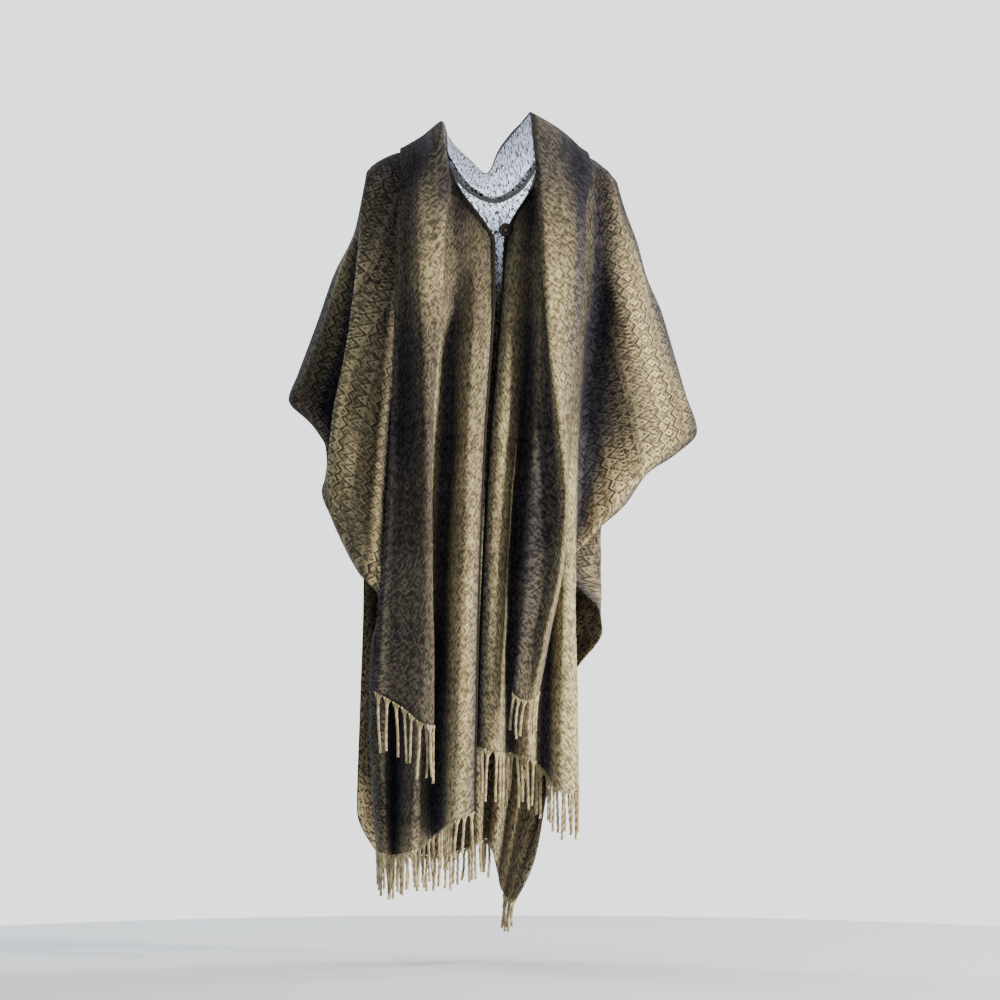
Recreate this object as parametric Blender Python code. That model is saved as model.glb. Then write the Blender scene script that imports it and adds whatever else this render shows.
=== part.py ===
"""A long open-front poncho of blanket cloth with a scarf sewn along its neckline.

The cloth hangs from the shoulders as it does when it is worn: two fronts that meet at one button,
a longer back, wide side wings that fall past the arms, and two scarf ends over the fronts.

The tables are in millimetres. X runs across the wearer and -Y is the front.
The origin lies between the shoulder crests beside the neck, where the wearer carries the cloth.
"""

import math
from collections import namedtuple

import bmesh
import bpy
import numpy as np
from mathutils import Vector
from mathutils.bvhtree import BVHTree

MM = 0.001
SEAM = 0.3
CLOTH = 2.0
SCARF_CLOTH = 2.2
SCARF_REST = 7.4
SCARF_REACH = 8.0
CREST_ANGLES = (28.0, 58.0)
STRAIGHT_START = 20.0

# A fold is a ridge, valley or edge that runs down a panel. Each of its stations has four columns:
# the share of the way from the top edge to the hem, the place across, the depth and the drop.
Fold = namedtuple("Fold", "name stations")

LEFT_SILHOUETTE = (
    (0.0, -207, 0, 42), (0.045, -215, 0, 89), (0.095, -226, 0, 139), (0.17, -261, 0, 213),
    (0.24, -285, 0, 282), (0.34, -320, 0, 376), (0.38, -335, 0, 417),
)
RIGHT_SILHOUETTE = (
    (0.0, 206, 0, 58), (0.045, 219, 0, 104), (0.10, 239, 0, 158), (0.15, 254, 0, 213),
    (0.21, 279, 0, 272), (0.27, 297, 0, 332), (0.345, 320, 0, 411), (0.40, 338, 0, 469),
)

FRONT_LEFT = (
    Fold("edge", ((0, 1, -104, 154), (0.14, 1, -116, 240), (0.40, -14, -124, 500),
                  (0.64, -24, -122, 780), (1, -29, -118, 1091))),
    Fold("ridge_1", ((0, -25, -92, 116), (0.14, -22, -114, 230), (0.28, -30, -130, 360),
                     (0.40, -38, -134, 500), (0.64, -50, -136, 784), (1, -61, -132, 1105))),
    Fold("valley_1", ((0, -55, -70, 76), (0.14, -61, -98, 219), (0.28, -69, -90, 360),
                      (0.40, -74, -78, 500), (0.64, -84, -68, 784), (1, -92, -60, 1130))),
    Fold("ridge_2", ((0, -90, 0, 3), (0.14, -97, -100, 203), (0.28, -102, -112, 351),
                     (0.40, -109, -114, 500), (0.64, -117, -110, 784), (1, -130, -104, 1155))),
    Fold("valley_2", ((0, -119, 0, 8), (0.14, -144, -88, 190), (0.28, -149, -78, 343),
                      (0.40, -155, -66, 492), (0.64, -158, -50, 784), (1, -163, -46, 1165))),
    Fold("ridge_3", ((0, -152, 0, 10), (0.14, -177, -84, 178), (0.28, -190, -96, 335),
                     (0.40, -205, -98, 483), (0.52, -208, -88, 640), (0.64, -172, -64, 752),
                     (0.80, -179, -76, 920), (1, -172, -78, 1163))),
    Fold("rim", ((0, -188, 0, 26), (0.14, -218, -70, 165), (0.28, -232, -92, 295),
                 (0.40, -262, -90, 462), (0.47, -268, -80, 552), (0.52, -260, -84, 602),
                 (0.56, -246, -84, 642), (0.60, -205, -74, 712), (0.64, -178, -53, 749),
                 (0.72, -192, -66, 828), (0.80, -195, -66, 920), (1, -184, -66, 1158))),
    Fold("recess", ((0, -197, 0, 33), (0.045, -206, -20, 66), (0.095, -216, -40, 112),
                    (0.14, -219, -42, 168), (0.28, -232, -24, 308), (0.38, -256, -18, 442),
                    (0.43, -262, -24, 482), (0.47, -270, -52, 530), (0.52, -270, -74, 584),
                    (0.56, -254, -80, 627), (0.60, -211, -66, 707), (0.64, -181, -41, 747),
                    (0.72, -200, -46, 828), (0.80, -202, -44, 922), (1, -190, -44, 1153))),
    Fold("wing", ((0, -202, 0, 37), (0.045, -210, -12, 79), (0.095, -221, -22, 129),
                  (0.14, -236, -30, 177), (0.28, -270, -38, 316), (0.38, -304, -28, 415),
                  (0.43, -278, -18, 464), (0.47, -272, -36, 517), (0.52, -275, -66, 574),
                  (0.56, -259, -74, 619), (0.60, -216, -56, 703), (0.64, -184, -29, 745),
                  (0.72, -198, -28, 829), (0.80, -199, -26, 925), (1, -186, -26, 1154))),
    Fold("selvedge", LEFT_SILHOUETTE + (
        (0.42, -305, -6, 450), (0.46, -276, -14, 483), (0.49, -266, -34, 525),
        (0.52, -279, -60, 566), (0.56, -263, -68, 612), (0.60, -220, -46, 700),
        (0.64, -186, -18, 743), (0.72, -192, -12, 830), (0.80, -191, -10, 928),
        (1, -178, -10, 1156))),
)

FRONT_RIGHT = (
    Fold("edge", ((0, 25, -90, 146), (0.14, 19, -98, 238), (0.40, -3, -110, 500),
                  (0.64, -15, -109, 740), (1, -23, -103, 985))),
    Fold("ridge_1", ((0, 43, -82, 113), (0.14, 34, -108, 230), (0.28, 27, -122, 360),
                     (0.40, 18, -126, 500), (0.64, 7, -125, 742), (1, 3, -121, 992))),
    Fold("valley_1", ((0, 66, -60, 76), (0.14, 63, -90, 222), (0.28, 58, -76, 360),
                      (0.40, 51, -64, 500), (0.64, 34, -56, 745), (1, 32, -52, 998))),
    Fold("ridge_2", ((0, 91, 0, 3), (0.14, 87, -98, 205), (0.28, 87, -112, 355),
                     (0.40, 84, -112, 498), (0.64, 66, -106, 745), (1, 60, -98, 1003))),
    Fold("valley_2", ((0, 115, 0, 9), (0.14, 112, -92, 190), (0.28, 109, -82, 350),
                      (0.40, 106, -72, 492), (0.64, 92, -58, 745), (1, 88, -54, 1028))),
    Fold("ridge_3", ((0, 140, 0, 11), (0.14, 137, -84, 178), (0.28, 133, -94, 335),
                     (0.40, 127, -98, 485), (0.64, 116, -106, 742), (1, 112, -106, 1056))),
    Fold("ridge_3_side", ((0, 160, 0, 18), (0.14, 158, -72, 170), (0.28, 149, -70, 330),
                          (0.40, 139, -74, 480), (0.60, 137, -78, 690), (0.80, 139, -80, 880),
                          (1, 141, -80, 1054))),
    Fold("valley_3", ((0, 178, 0, 30), (0.14, 178, -54, 172), (0.27, 164, -46, 318),
                      (0.40, 148, -42, 470), (0.52, 141, -50, 600), (0.60, 136, -66, 684),
                      (0.70, 135, -66, 800), (1, 137, -64, 1052))),
    Fold("wing_front", ((0, 192, 0, 42), (0.14, 206, -56, 182), (0.27, 224, -68, 330),
                        (0.40, 244, -64, 490), (0.50, 190, -66, 592), (0.56, 154, -62, 650),
                        (0.60, 134, -56, 677), (0.70, 132, -52, 800), (1, 134, -50, 1051))),
    Fold("wing_back", ((0, 200, 0, 51), (0.045, 211, -17, 96), (0.10, 226, -29, 152),
                       (0.14, 236, -36, 192), (0.27, 266, -46, 334), (0.40, 302, -38, 478),
                       (0.46, 262, -48, 530), (0.50, 206, -58, 588), (0.56, 160, -52, 645),
                       (0.60, 132, -44, 672), (0.70, 126, -38, 800), (1, 128, -36, 1050))),
    Fold("roll", ((0, 203, 0, 54), (0.045, 215.5, -7, 101), (0.10, 234.5, -11, 156),
                  (0.14, 246, -14, 198), (0.27, 290, -16, 335), (0.40, 331, -11, 470),
                  (0.44, 298, -22, 507), (0.47, 254, -35, 535), (0.50, 214, -46, 587),
                  (0.56, 162, -41, 641), (0.60, 130, -30, 669), (0.70, 119, -24, 800),
                  (1, 121, -22, 1050))),
    Fold("selvedge", RIGHT_SILHOUETTE + (
        (0.44, 300, -18, 509), (0.47, 256, -28, 538), (0.50, 219, -37, 590),
        (0.56, 164, -31, 637), (0.60, 127, -17, 667), (0.70, 113, -10, 800),
        (1, 115, -8, 1050))),
)

BACK = (
    Fold("selvedge_left", LEFT_SILHOUETTE + (
        (0.42, -305, 20, 448), (0.46, -270, 42, 500), (0.54, -228, 56, 610),
        (0.62, -212, 44, 716), (0.80, -218, 38, 930), (0.93, -223, 36, 1094),
        (1, -190, 36, 1165))),
    Fold("roll_left", ((0, -204, 0, 38), (0.045, -212, 7, 86), (0.095, -223, 11, 136),
                       (0.17, -256, 15, 212), (0.28, -292, 15, 318), (0.38, -327, 10, 412),
                       (0.46, -262, 56, 492), (0.54, -220, 70, 600), (0.62, -206, 58, 716),
                       (0.80, -208, 54, 930), (0.93, -212, 52, 1094), (1, -182, 50, 1166))),
    Fold("wing_left", ((0, -197, 0, 33), (0.045, -206, 22, 76), (0.095, -215, 36, 126),
                       (0.17, -236, 50, 200), (0.28, -264, 60, 305), (0.38, -292, 52, 415),
                       (0.46, -240, 84, 492), (0.54, -204, 96, 600), (0.62, -190, 90, 716),
                       (0.80, -188, 86, 930), (1, -166, 84, 1168))),
    Fold("valley_1", ((0, -188, 0, 26), (0.14, -186, 64, 172), (0.28, -206, 66, 315),
                      (0.40, -212, 60, 470), (0.54, -176, 64, 620), (0.62, -166, 60, 720),
                      (0.80, -160, 56, 930), (1, -140, 58, 1172))),
    Fold("ridge_1", ((0, -152, 0, 10), (0.14, -150, 92, 178), (0.28, -156, 104, 325),
                     (0.40, -154, 112, 480), (0.62, -138, 118, 730), (0.80, -126, 122, 935),
                     (1, -112, 124, 1174))),
    Fold("valley_2", ((0, -119, 0, 8), (0.14, -112, 92, 184), (0.40, -108, 80, 488),
                      (0.62, -104, 74, 740), (1, -84, 72, 1172))),
    Fold("ridge_2", ((0, -90, 0, 3), (0.14, -76, 104, 190), (0.40, -66, 120, 495),
                     (0.62, -62, 128, 748), (1, -50, 132, 1165))),
    Fold("valley_3", ((0, -45, 56, 68), (0.14, -36, 100, 208), (0.40, -28, 86, 505),
                      (0.62, -26, 78, 760), (1, -24, 76, 1150))),
    Fold("ridge_3", ((0, 4, 72, 89), (0.14, 4, 108, 218), (0.40, 10, 122, 510),
                     (0.62, 10, 128, 765), (0.80, 2, 122, 960), (1, -10, 110, 1146))),
    Fold("valley_4", ((0, 50, 56, 68), (0.14, 42, 100, 208), (0.40, 46, 86, 505),
                      (0.62, 42, 78, 760), (0.80, 24, 76, 965), (1, 1, 82, 1168))),
    Fold("ridge_4", ((0, 91, 0, 3), (0.14, 78, 104, 190), (0.40, 80, 120, 495),
                     (0.62, 74, 122, 750), (0.80, 46, 110, 970), (1, 11, 96, 1212))),
    Fold("valley_5", ((0, 115, 0, 9), (0.14, 112, 92, 184), (0.40, 116, 84, 488),
                      (0.62, 104, 84, 745), (0.80, 64, 86, 975), (1, 18, 82, 1234))),
    Fold("ridge_5", ((0, 160, 0, 18), (0.14, 152, 90, 178), (0.28, 156, 102, 325),
                     (0.40, 160, 108, 480), (0.54, 158, 104, 620), (0.62, 142, 102, 740),
                     (0.80, 82, 98, 980), (1, 23, 86, 1240))),
    Fold("cascade_back", ((0, 185, 0, 36), (0.14, 196, 62, 178), (0.28, 216, 72, 320),
                          (0.40, 234, 70, 470), (0.48, 196, 88, 560), (0.54, 174, 84, 650),
                          (0.62, 160, 76, 745), (0.70, 118, 74, 845), (0.80, 92, 76, 985),
                          (0.90, 68, 74, 1110), (1, 28, 76, 1243))),
    Fold("cascade_fold", ((0, 197, 0, 48), (0.045, 209, 19, 92), (0.10, 223, 32, 146),
                          (0.14, 232, 38, 186), (0.28, 274, 42, 330), (0.40, 302, 36, 470),
                          (0.46, 236, 70, 520), (0.50, 194, 66, 575), (0.54, 180, 46, 640),
                          (0.58, 180, 36, 700), (0.62, 182, 42, 745), (0.65, 170, 62, 785),
                          (0.70, 126, 80, 852), (0.80, 100, 86, 1000), (0.90, 75, 82, 1122),
                          (1, 33, 75, 1243))),
    Fold("roll_right", ((0, 203, 0, 54), (0.045, 215.5, 7, 101), (0.10, 235, 12, 156),
                        (0.14, 247, 14, 198), (0.28, 295, 15, 344), (0.40, 331, 11, 470),
                        (0.46, 242, 56, 526), (0.50, 184, 54, 590), (0.54, 152, 34, 660),
                        (0.58, 152, 18, 704), (0.62, 180, 27, 755), (0.65, 177, 50, 793),
                        (0.70, 132, 68, 860), (0.80, 104, 72, 1000), (0.90, 78, 68, 1120),
                        (1, 37, 67, 1243.5))),
    Fold("selvedge_right", RIGHT_SILHOUETTE + (
        (0.44, 286, 24, 498), (0.48, 214, 48, 556), (0.52, 150, 38, 630), (0.55, 129, 18, 680),
        (0.58, 131, 4, 712), (0.62, 176, 16, 764), (0.65, 182, 40, 800), (0.70, 137, 56, 868),
        (0.80, 108, 60, 1000), (0.86, 92, 57, 1061), (0.94, 71, 54, 1176), (1, 40, 58, 1244))),
)

SCARF_LEFT = (
    Fold("under", ((0, -74, 14, 2), (0.10, -84, -52, 12), (0.22, -86, -104, 130),
                   (0.38, -92, -124, 260), (0.55, -106, -128, 430), (0.72, -114, -130, 600),
                   (1, -114, -132, 935))),
    Fold("inner_fold", ((0, -83, 8, -43), (0.06, -80, -38, -26), (0.14, -71, -90, 63),
                        (0.25, -78, -128, 150), (0.40, -82, -146, 280), (0.55, -95, -150, 430),
                        (0.72, -98, -152, 600), (1, -94, -148, 950))),
    Fold("lit_ridge", ((0, -112, 4, -20), (0.08, -112, -62, 22), (0.22, -118, -132, 140),
                       (0.40, -110, -162, 285), (0.55, -107, -168, 420), (0.72, -106, -162, 590),
                       (1, -113, -158, 945))),
    Fold("shade", ((0, -134, 2, -5), (0.08, -133, -58, 40), (0.22, -139, -118, 150),
                   (0.40, -138, -138, 292), (0.55, -136, -142, 430), (0.72, -140, -146, 600),
                   (1, -146, -148, 920))),
    Fold("outer_edge", ((0, -151, 0, 3), (0.08, -151, -50, 48), (0.22, -157, -110, 160),
                        (0.40, -160, -126, 300), (0.55, -164, -130, 440), (0.72, -173, -134, 600),
                        (0.86, -185, -138, 760), (1, -193, -140, 893))),
)

SCARF_RIGHT = (
    Fold("tail_edge", ((0, 80, 14, 8), (0.08, 83, -44, 14), (0.20, 82, -108, 150),
                       (0.34, 79, -130, 350), (0.45, 69, -144, 455), (0.56, 60, -150, 590),
                       (0.80, 43, -148, 800), (1, 33, -144, 896))),
    Fold("tail_valley", ((0, 68, 12, -24), (0.08, 70, -46, -3), (0.15, 82, -96, 78),
                         (0.21, 87, -120, 165), (0.28, 90, -131, 265), (0.45, 96, -142, 455),
                         (0.56, 104, -141, 590), (0.66, 97, -144, 680), (0.80, 77, -145, 800),
                         (1, 52, -150, 908))),
    Fold("inner_ridge", ((0, 63, 8, -58), (0.06, 66, -38, -34), (0.10, 70, -74, 10),
                         (0.15, 74, -110, 76), (0.22, 80, -139, 170), (0.34, 92, -158, 330),
                         (0.45, 108, -167, 450),
                         (0.56, 119, -168, 575), (0.66, 112, -164, 680), (0.80, 88, -158, 800),
                         (1, 66, -152, 908))),
    Fold("face", ((0, 112, 5, -29), (0.08, 112, -58, 18), (0.22, 117, -132, 165),
                  (0.34, 119, -145, 320), (0.45, 122, -150, 440), (0.56, 124, -154, 570),
                  (0.66, 117, -148, 682), (0.80, 92, -146, 800), (1, 72, -146, 902))),
    Fold("outer_edge", ((0, 155, 0, 12), (0.08, 155, -46, 60), (0.22, 150, -112, 178),
                        (0.34, 144, -126, 310), (0.45, 132, -134, 430), (0.56, 122, -138, 565),
                        (0.66, 116, -136, 684), (0.80, 95, -136, 800), (1, 77, -138, 893))),
)

# The scarf's stretch behind the neck. A row is one cut across it, and its stations run from the
# neckline up to the standing fold and down the flap that lies over the back.
SCARF_NECK = (
    Fold("left_end", ((0, -74, 15.2, 2), (0.33, -83, 9.2, -43), (0.66, -112, 5.2, -20),
                      (1, -151, 1.2, 3))),
    Fold("left_back", ((0, -57, 30, 34), (0.33, -74, 64, -19), (0.66, -98, 92, 4),
                       (1, -124, 96, 62))),
    Fold("left_middle", ((0, -28, 60, 66.4), (0.33, -32, 84, 22), (0.66, -40, 114, 42),
                         (1, -56, 122, 112))),
    Fold("dip", ((0, 2, 69, 80.6), (0.33, -9, 88, 40), (0.66, 0, 116, 60), (1, -2, 126, 130))),
    Fold("right_rise", ((0, 28, 62, 70.4), (0.33, 14, 84, -4), (0.66, 40, 116, 40),
                        (1, 52, 124, 122))),
    Fold("right_back", ((0, 57, 36, 39), (0.33, 43, 68, -38), (0.66, 84, 96, -8),
                        (1, 119, 102, 58))),
    Fold("right_end", ((0, 80, 15.2, 8), (0.33, 63, 9.2, -58), (0.66, 112, 6.2, -29),
                       (1, 155, 1.2, 12))),
)

# Cells across each span between two folds, and cells down the panel.
SPAN_CELLS = {
    "front_left": 3, "front_right": 3, "back": 2,
    "scarf_left": 3, "scarf_right": 3, "scarf_neck": 3,
}
BODY_ROWS = 18
BODY_ROW_BEND = 1.193
WING_TIP_RIGHT = 0.40
SCARF_ROWS = 14
SCARF_ROW_BEND = 1.5
NECK_ROWS = 6
NECK_FOLD_OF_FRONT = 3
NECK_FOLDS_OF_BACK = (6, 10)

# Fringe on a stretch of a panel's hem, with the first and last share across the panel and the
# header's gap to the hem, which is wider where the hem is folded.
Fringe = namedtuple("Fringe", "panel first last strands length gap")
FRINGES = {
    "fringe_front_left": Fringe("front_left", 0.0, 1.0, 27, 68, 1.6),
    "fringe_front_right": Fringe("front_right", 0.0, 1.0, 24, 80, 1.5),
    "fringe_back": Fringe("back", 0.0, 0.54, 26, 56, 1.3),
    "fringe_back_corner": Fringe("back", 0.70, 1.0, 5, 50, 1.3),
    "fringe_scarf_left": Fringe("scarf_left", 0.0, 1.0, 9, 88, 0.7),
    "fringe_scarf_right": Fringe("scarf_right", 0.0, 1.0, 6, 66, 0.9),
}
FRINGE_FILL = 0.42
FRINGE_HEADER = 7.0
FRINGE_THICKNESS = 3.0
FRINGE_SWAY = 0.18
STRAND_TAPER = 0.6

BINDING_RADIUS = 2.9
BINDING_GAP = 1.2
BINDING_SIDES = 6

BUTTON_ACROSS = 22.8
BUTTON_DROP = 140.7
BUTTON_BACK = -98.6
BUTTON_STEPS = 20
# The button's turned section: distance from its axis and height above its back.
BUTTON_PROFILE = (
    (0, 0), (9.6, 0), (11.5, 1.2), (11.5, 3.0), (10.7, 4.2), (9.3, 4.2), (8.5, 3.2),
    (5.4, 3.0), (2.4, 2.8), (2.0, 2.2), (0, 2.2),
)
SHANK_RADIUS = 2.4
SHANK_FRONT = BUTTON_BACK + SEAM
SHANK_BACK = -92.6
SHANK_SIDES = 10
LOOP_RADIUS = 1.1
LOOP_SIDES = 6
LOOP_RINGS = 26
# The loop's route: place across, depth and drop, from the left edge round the shank and back.
LOOP_ROUTE = (
    (6.9, -101.2, 146.0), (11.5, -97.4, 143.2), (17.0, -96.2, 138.6), (22.8, -96.1, 136.6),
    (25.8, -96.1, 137.7), (26.9, -96.1, 140.7), (25.8, -96.1, 143.7), (22.8, -96.1, 144.8),
    (16.0, -96.4, 149.4), (11.0, -98.4, 152.2), (7.2, -101.4, 153.6),
)

COLOURS = {
    "wool_cloth": ((0.27, 0.245, 0.20), 0.95),
    "fringe_yarn": ((0.60, 0.53, 0.38), 0.95),
    "edge_tape": ((0.06, 0.055, 0.055), 0.9),
    "button_horn": ((0.10, 0.065, 0.045), 0.35),
    "shank_thread": ((0.35, 0.31, 0.25), 0.9),
    "loop_cord": ((0.08, 0.075, 0.075), 0.8),
}


def end_slope(near_width, far_width, near_rise, far_rise):
    """The slope at an end of the curve, held to the way that the curve leaves it."""
    slope = ((2 * near_width + far_width) * near_rise - near_width * far_rise) / (
        near_width + far_width
    )
    slope = np.where(slope * near_rise <= 0, 0.0, slope)
    return np.where(np.abs(slope) > 3 * np.abs(near_rise), 3 * near_rise, slope)


def smooth(knots, values, at):
    """A monotone cubic through the values, so cloth never swings past its own ridge or valley."""
    knots = np.asarray(knots, float)
    values = np.asarray(values, float)
    widths = np.diff(knots)[:, None]
    rises = np.diff(values, axis=0) / widths
    slopes = np.zeros_like(values)
    before, after = rises[:-1], rises[1:]
    weight_a = 2 * widths[1:] + widths[:-1]
    weight_b = widths[1:] + 2 * widths[:-1]
    with np.errstate(divide="ignore", invalid="ignore"):
        mean = (weight_a + weight_b) / (weight_a / before + weight_b / after)
    slopes[1:-1] = np.where(before * after > 0, mean, 0.0)
    slopes[0] = end_slope(widths[0], widths[1], rises[0], rises[1])
    slopes[-1] = end_slope(widths[-1], widths[-2], rises[-1], rises[-2])
    at = np.clip(np.asarray(at, float), knots[0], knots[-1])
    span = np.clip(np.searchsorted(knots, at, side="right") - 1, 0, len(knots) - 2)
    width = widths[span]
    share = (at[:, None] - knots[span][:, None]) / width
    back = 1 - share
    return (
        values[span] * (1 + 2 * share) * back**2
        + slopes[span] * width * share * back**2
        + values[span + 1] * share**2 * (3 - 2 * share)
        - slopes[span + 1] * width * share**2 * back
    )


def over_the_shoulder(stations, side):
    """A fold's stations with the round of the shoulder, where it starts on the crest.

    Points on the crest and the side folds stand half a seam and half a wall from the other panel.
    """
    rows = [list(map(float, row)) for row in stations]
    for row in rows:
        if row[2] == 0:
            row[2] = side * (SEAM + CLOTH) / 2
    start, turn_end = rows[0], rows[1]
    if abs(stations[0][2]) > 0 or abs(turn_end[2]) < STRAIGHT_START:
        return rows
    for angle in reversed(CREST_ANGLES):
        turn = math.radians(angle)
        rows.insert(1, [
            turn_end[0] * angle / 90,
            start[1] + (turn_end[1] - start[1]) * math.sin(turn),
            start[2] + (turn_end[2] - start[2]) * math.sin(turn),
            start[3] + (turn_end[3] - start[3]) * (1 - math.cos(turn)),
        ])
    return rows


def make_sheet(folds, side=0):
    """A function of two shares, across and down, that gives points of the panel in millimetres.

    side is -1 for a front and 1 for the back, which meet at the shoulder crest, and 0 elsewhere.
    """
    tables = [
        np.array(over_the_shoulder(fold.stations, side) if side else fold.stations, float)
        for fold in folds
    ]

    def sheet(across, down):
        lines = np.stack([smooth(table[:, 0], table[:, 1:], down) for table in tables])
        flat = lines.reshape(len(tables), -1)
        points = smooth(np.arange(len(tables)), flat, np.asarray(across) * (len(tables) - 1))
        points = points.reshape(len(across), len(down), 3)
        points[..., 2] *= -1
        return points

    return sheet


def unit(vectors):
    return vectors / np.linalg.norm(vectors, axis=-1, keepdims=True)


def body_rows():
    """Shares down a front or the back: close over the shoulder, with one at each wing's tip."""
    return np.sort(np.append(np.linspace(0, 1, BODY_ROWS + 1) ** BODY_ROW_BEND, WING_TIP_RIGHT))


def panel_grid(name, folds, sheet):
    """The panel's points, column by column from one side edge to the other."""
    if name == "scarf_neck":
        down = np.linspace(0, 1, NECK_ROWS + 1)
    elif name.startswith("scarf"):
        down = np.linspace(0, 1, SCARF_ROWS + 1) ** SCARF_ROW_BEND
    else:
        down = body_rows()
    return sheet(np.linspace(0, 1, SPAN_CELLS[name] * (len(folds) - 1) + 1), down)


def grid_faces(columns, rows):
    return [
        (i * rows + j, (i + 1) * rows + j, (i + 1) * rows + j + 1, i * rows + j + 1)
        for i in range(columns - 1) for j in range(rows - 1)
    ]


def grid_normals(grid, side):
    """Unit normals of a grid of points. side turns them to the outer face of the cloth."""
    across = np.gradient(grid, axis=0)
    down = np.gradient(grid, axis=1)
    return side * unit(np.cross(across, down))


def lifted_clear(grid, panel, side, sewn_rows=0):
    """The scarf's points, moved out of the panel that they lie on, below any rows sewn in place."""
    columns, rows = panel.shape[:2]
    tree = BVHTree.FromPolygons(panel.reshape(-1, 3).tolist(), grid_faces(columns, rows))
    moved = grid.copy()
    free = moved[:, sewn_rows:]
    for place in np.ndindex(free.shape[:2]):
        point = Vector(free[place])
        seat, normal, _, distance = tree.find_nearest(point)
        outward = normal * side
        sunk = distance < SCARF_REACH and (point - seat).dot(outward) < 0
        if sunk or distance < SCARF_REST:
            free[place] = seat + outward * SCARF_REST
    return moved


def make_material(name):
    """A plain material in the slot's own colour."""
    colour, roughness = COLOURS[name]
    material = bpy.data.materials.new(name)
    material.use_nodes = True
    shader = material.node_tree.nodes["Principled BSDF"]
    shader.inputs["Base Color"].default_value = (*colour, 1)
    shader.inputs["Roughness"].default_value = roughness
    shader.inputs["Metallic"].default_value = 0.0
    return material


def add_object(name, points, faces, material, closed=True):
    """A mesh object from points in millimetres, with a closed one's faces turned outwards."""
    mesh = bpy.data.meshes.new(name)
    mesh.from_pydata([tuple(MM * c for c in point) for point in points], [], faces)
    if closed:
        shape = bmesh.new()
        shape.from_mesh(mesh)
        bmesh.ops.recalc_face_normals(shape, faces=shape.faces)
        shape.to_mesh(mesh)
        shape.free()
    mesh.shade_smooth()
    mesh.materials.append(material)
    obj = bpy.data.objects.new(name, mesh)
    bpy.context.scene.collection.objects.link(obj)
    return obj


def cloth_wall(name, grid, thickness, material):
    """A panel as a closed wall of even thickness, half of it to each side of the grid."""
    faces = grid_faces(*grid.shape[:2])
    obj = add_object(name, grid.reshape(-1, 3), faces, material, closed=False)
    wall = obj.modifiers.new("wall", "SOLIDIFY")
    wall.thickness = thickness * MM
    wall.offset = 0.0
    return obj


def evenly_along(sheet, first, last, shares):
    """Shares across the hem, evenly spaced along the cloth between two of them."""
    fine = np.linspace(first, last, 801)
    hem = sheet(fine, np.array([1.0]))[:, 0]
    length = np.concatenate([[0], np.cumsum(np.linalg.norm(np.diff(hem, axis=0), axis=1))])
    return np.interp(np.asarray(shares) * length[-1], length, fine), length[-1]


def fringe(name, sheet, material):
    """A narrow header just below a hem, with strands drawn out of its lower side."""
    _, first, last, strands, strand_length, gap = FRINGES[name]
    places = []
    for k in range(strands):
        places += [(k + 0.5 - FRINGE_FILL / 2) / strands, (k + 0.5 + FRINGE_FILL / 2) / strands]
    shares, hem_length = evenly_along(sheet, first, last, places)
    sway_size = FRINGE_SWAY * hem_length / strands
    grid = sheet(shares, np.array([0.99, 1.0]))
    hem = grid[:, 1]
    fall = unit(hem - grid[:, 0])
    along = np.gradient(hem, axis=0)
    normal = unit(np.cross(along, fall))
    below = unit(np.cross(normal, along))
    top = hem + below * gap
    foot = top + fall * FRINGE_HEADER
    half = normal * FRINGE_THICKNESS / 2
    points = [p for four in zip(top + half, top - half, foot + half, foot - half) for p in four]
    faces = []
    end = len(places) - 1
    for i in range(end):
        a, b = 4 * i, 4 * (i + 1)
        faces += [(a, b, b + 2, a + 2), (b + 1, a + 1, a + 3, b + 3), (b, a, a + 1, b + 1)]
        if i % 2:
            faces.append((a + 2, b + 2, b + 3, a + 3))
    faces += [(0, 2, 3, 1), (4 * end + 1, 4 * end + 3, 4 * end + 2, 4 * end)]
    for k in range(strands):
        a, b = 8 * k, 8 * k + 4
        root = [a + 2, b + 2, b + 3, a + 3]
        corners = np.array([points[i] for i in root])
        centre = corners.mean(axis=0)
        sway = sway_size * math.sin(2.4 * k)
        drop = strand_length * (1 + 0.04 * math.sin(3.7 * k))
        tip = list(range(len(points), len(points) + 4))
        points += [centre + (sway, 0.6 * sway, -drop) + (c - centre) * STRAND_TAPER for c in corners]
        faces += [(root[m], root[(m + 1) % 4], tip[(m + 1) % 4], tip[m]) for m in range(4)]
        faces.append(tuple(tip))
    return add_object(name, points, faces, material)


def swept(name, centres, wide, thick, sides, material):
    """A tube through the centres. wide and thick hold its two half axes at each one."""
    points = []
    for centre, a, b in zip(centres, wide, thick):
        for k in range(sides):
            turn = 2 * math.pi * k / sides
            points.append(centre + a * math.cos(turn) + b * math.sin(turn))
    faces = [tuple(range(sides)), tuple(range(len(points) - sides, len(points)))]
    for i in range(len(centres) - 1):
        for k in range(sides):
            a, b = i * sides + k, i * sides + (k + 1) % sides
            faces.append((a, b, b + sides, a + sides))
    return add_object(name, points, faces, material)


def open_edges(grids):
    """The line of the front edges and the neckline, from hem to hem, and the cloth's normals."""
    front = NECK_FOLD_OF_FRONT * SPAN_CELLS["front_left"]
    first, last = (SPAN_CELLS["back"] * fold for fold in NECK_FOLDS_OF_BACK)
    normals = {
        "front_left": grid_normals(grids["front_left"], 1),
        "front_right": grid_normals(grids["front_right"], -1),
        "back": grid_normals(grids["back"], 1),
    }

    def line(of):
        left, right, rear = of["front_left"], of["front_right"], of["back"]
        return np.concatenate([
            left[0, ::-1], left[1:front + 1, 0], rear[first + 1:last, 0],
            right[front:0:-1, 0], right[0],
        ])

    return line(grids), line(normals)


def moved_off(line, normals, distance):
    """The line moved off the cloth's edge within the cloth's own surface."""
    return line + unit(np.cross(np.gradient(line, axis=0), normals)) * distance


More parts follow.
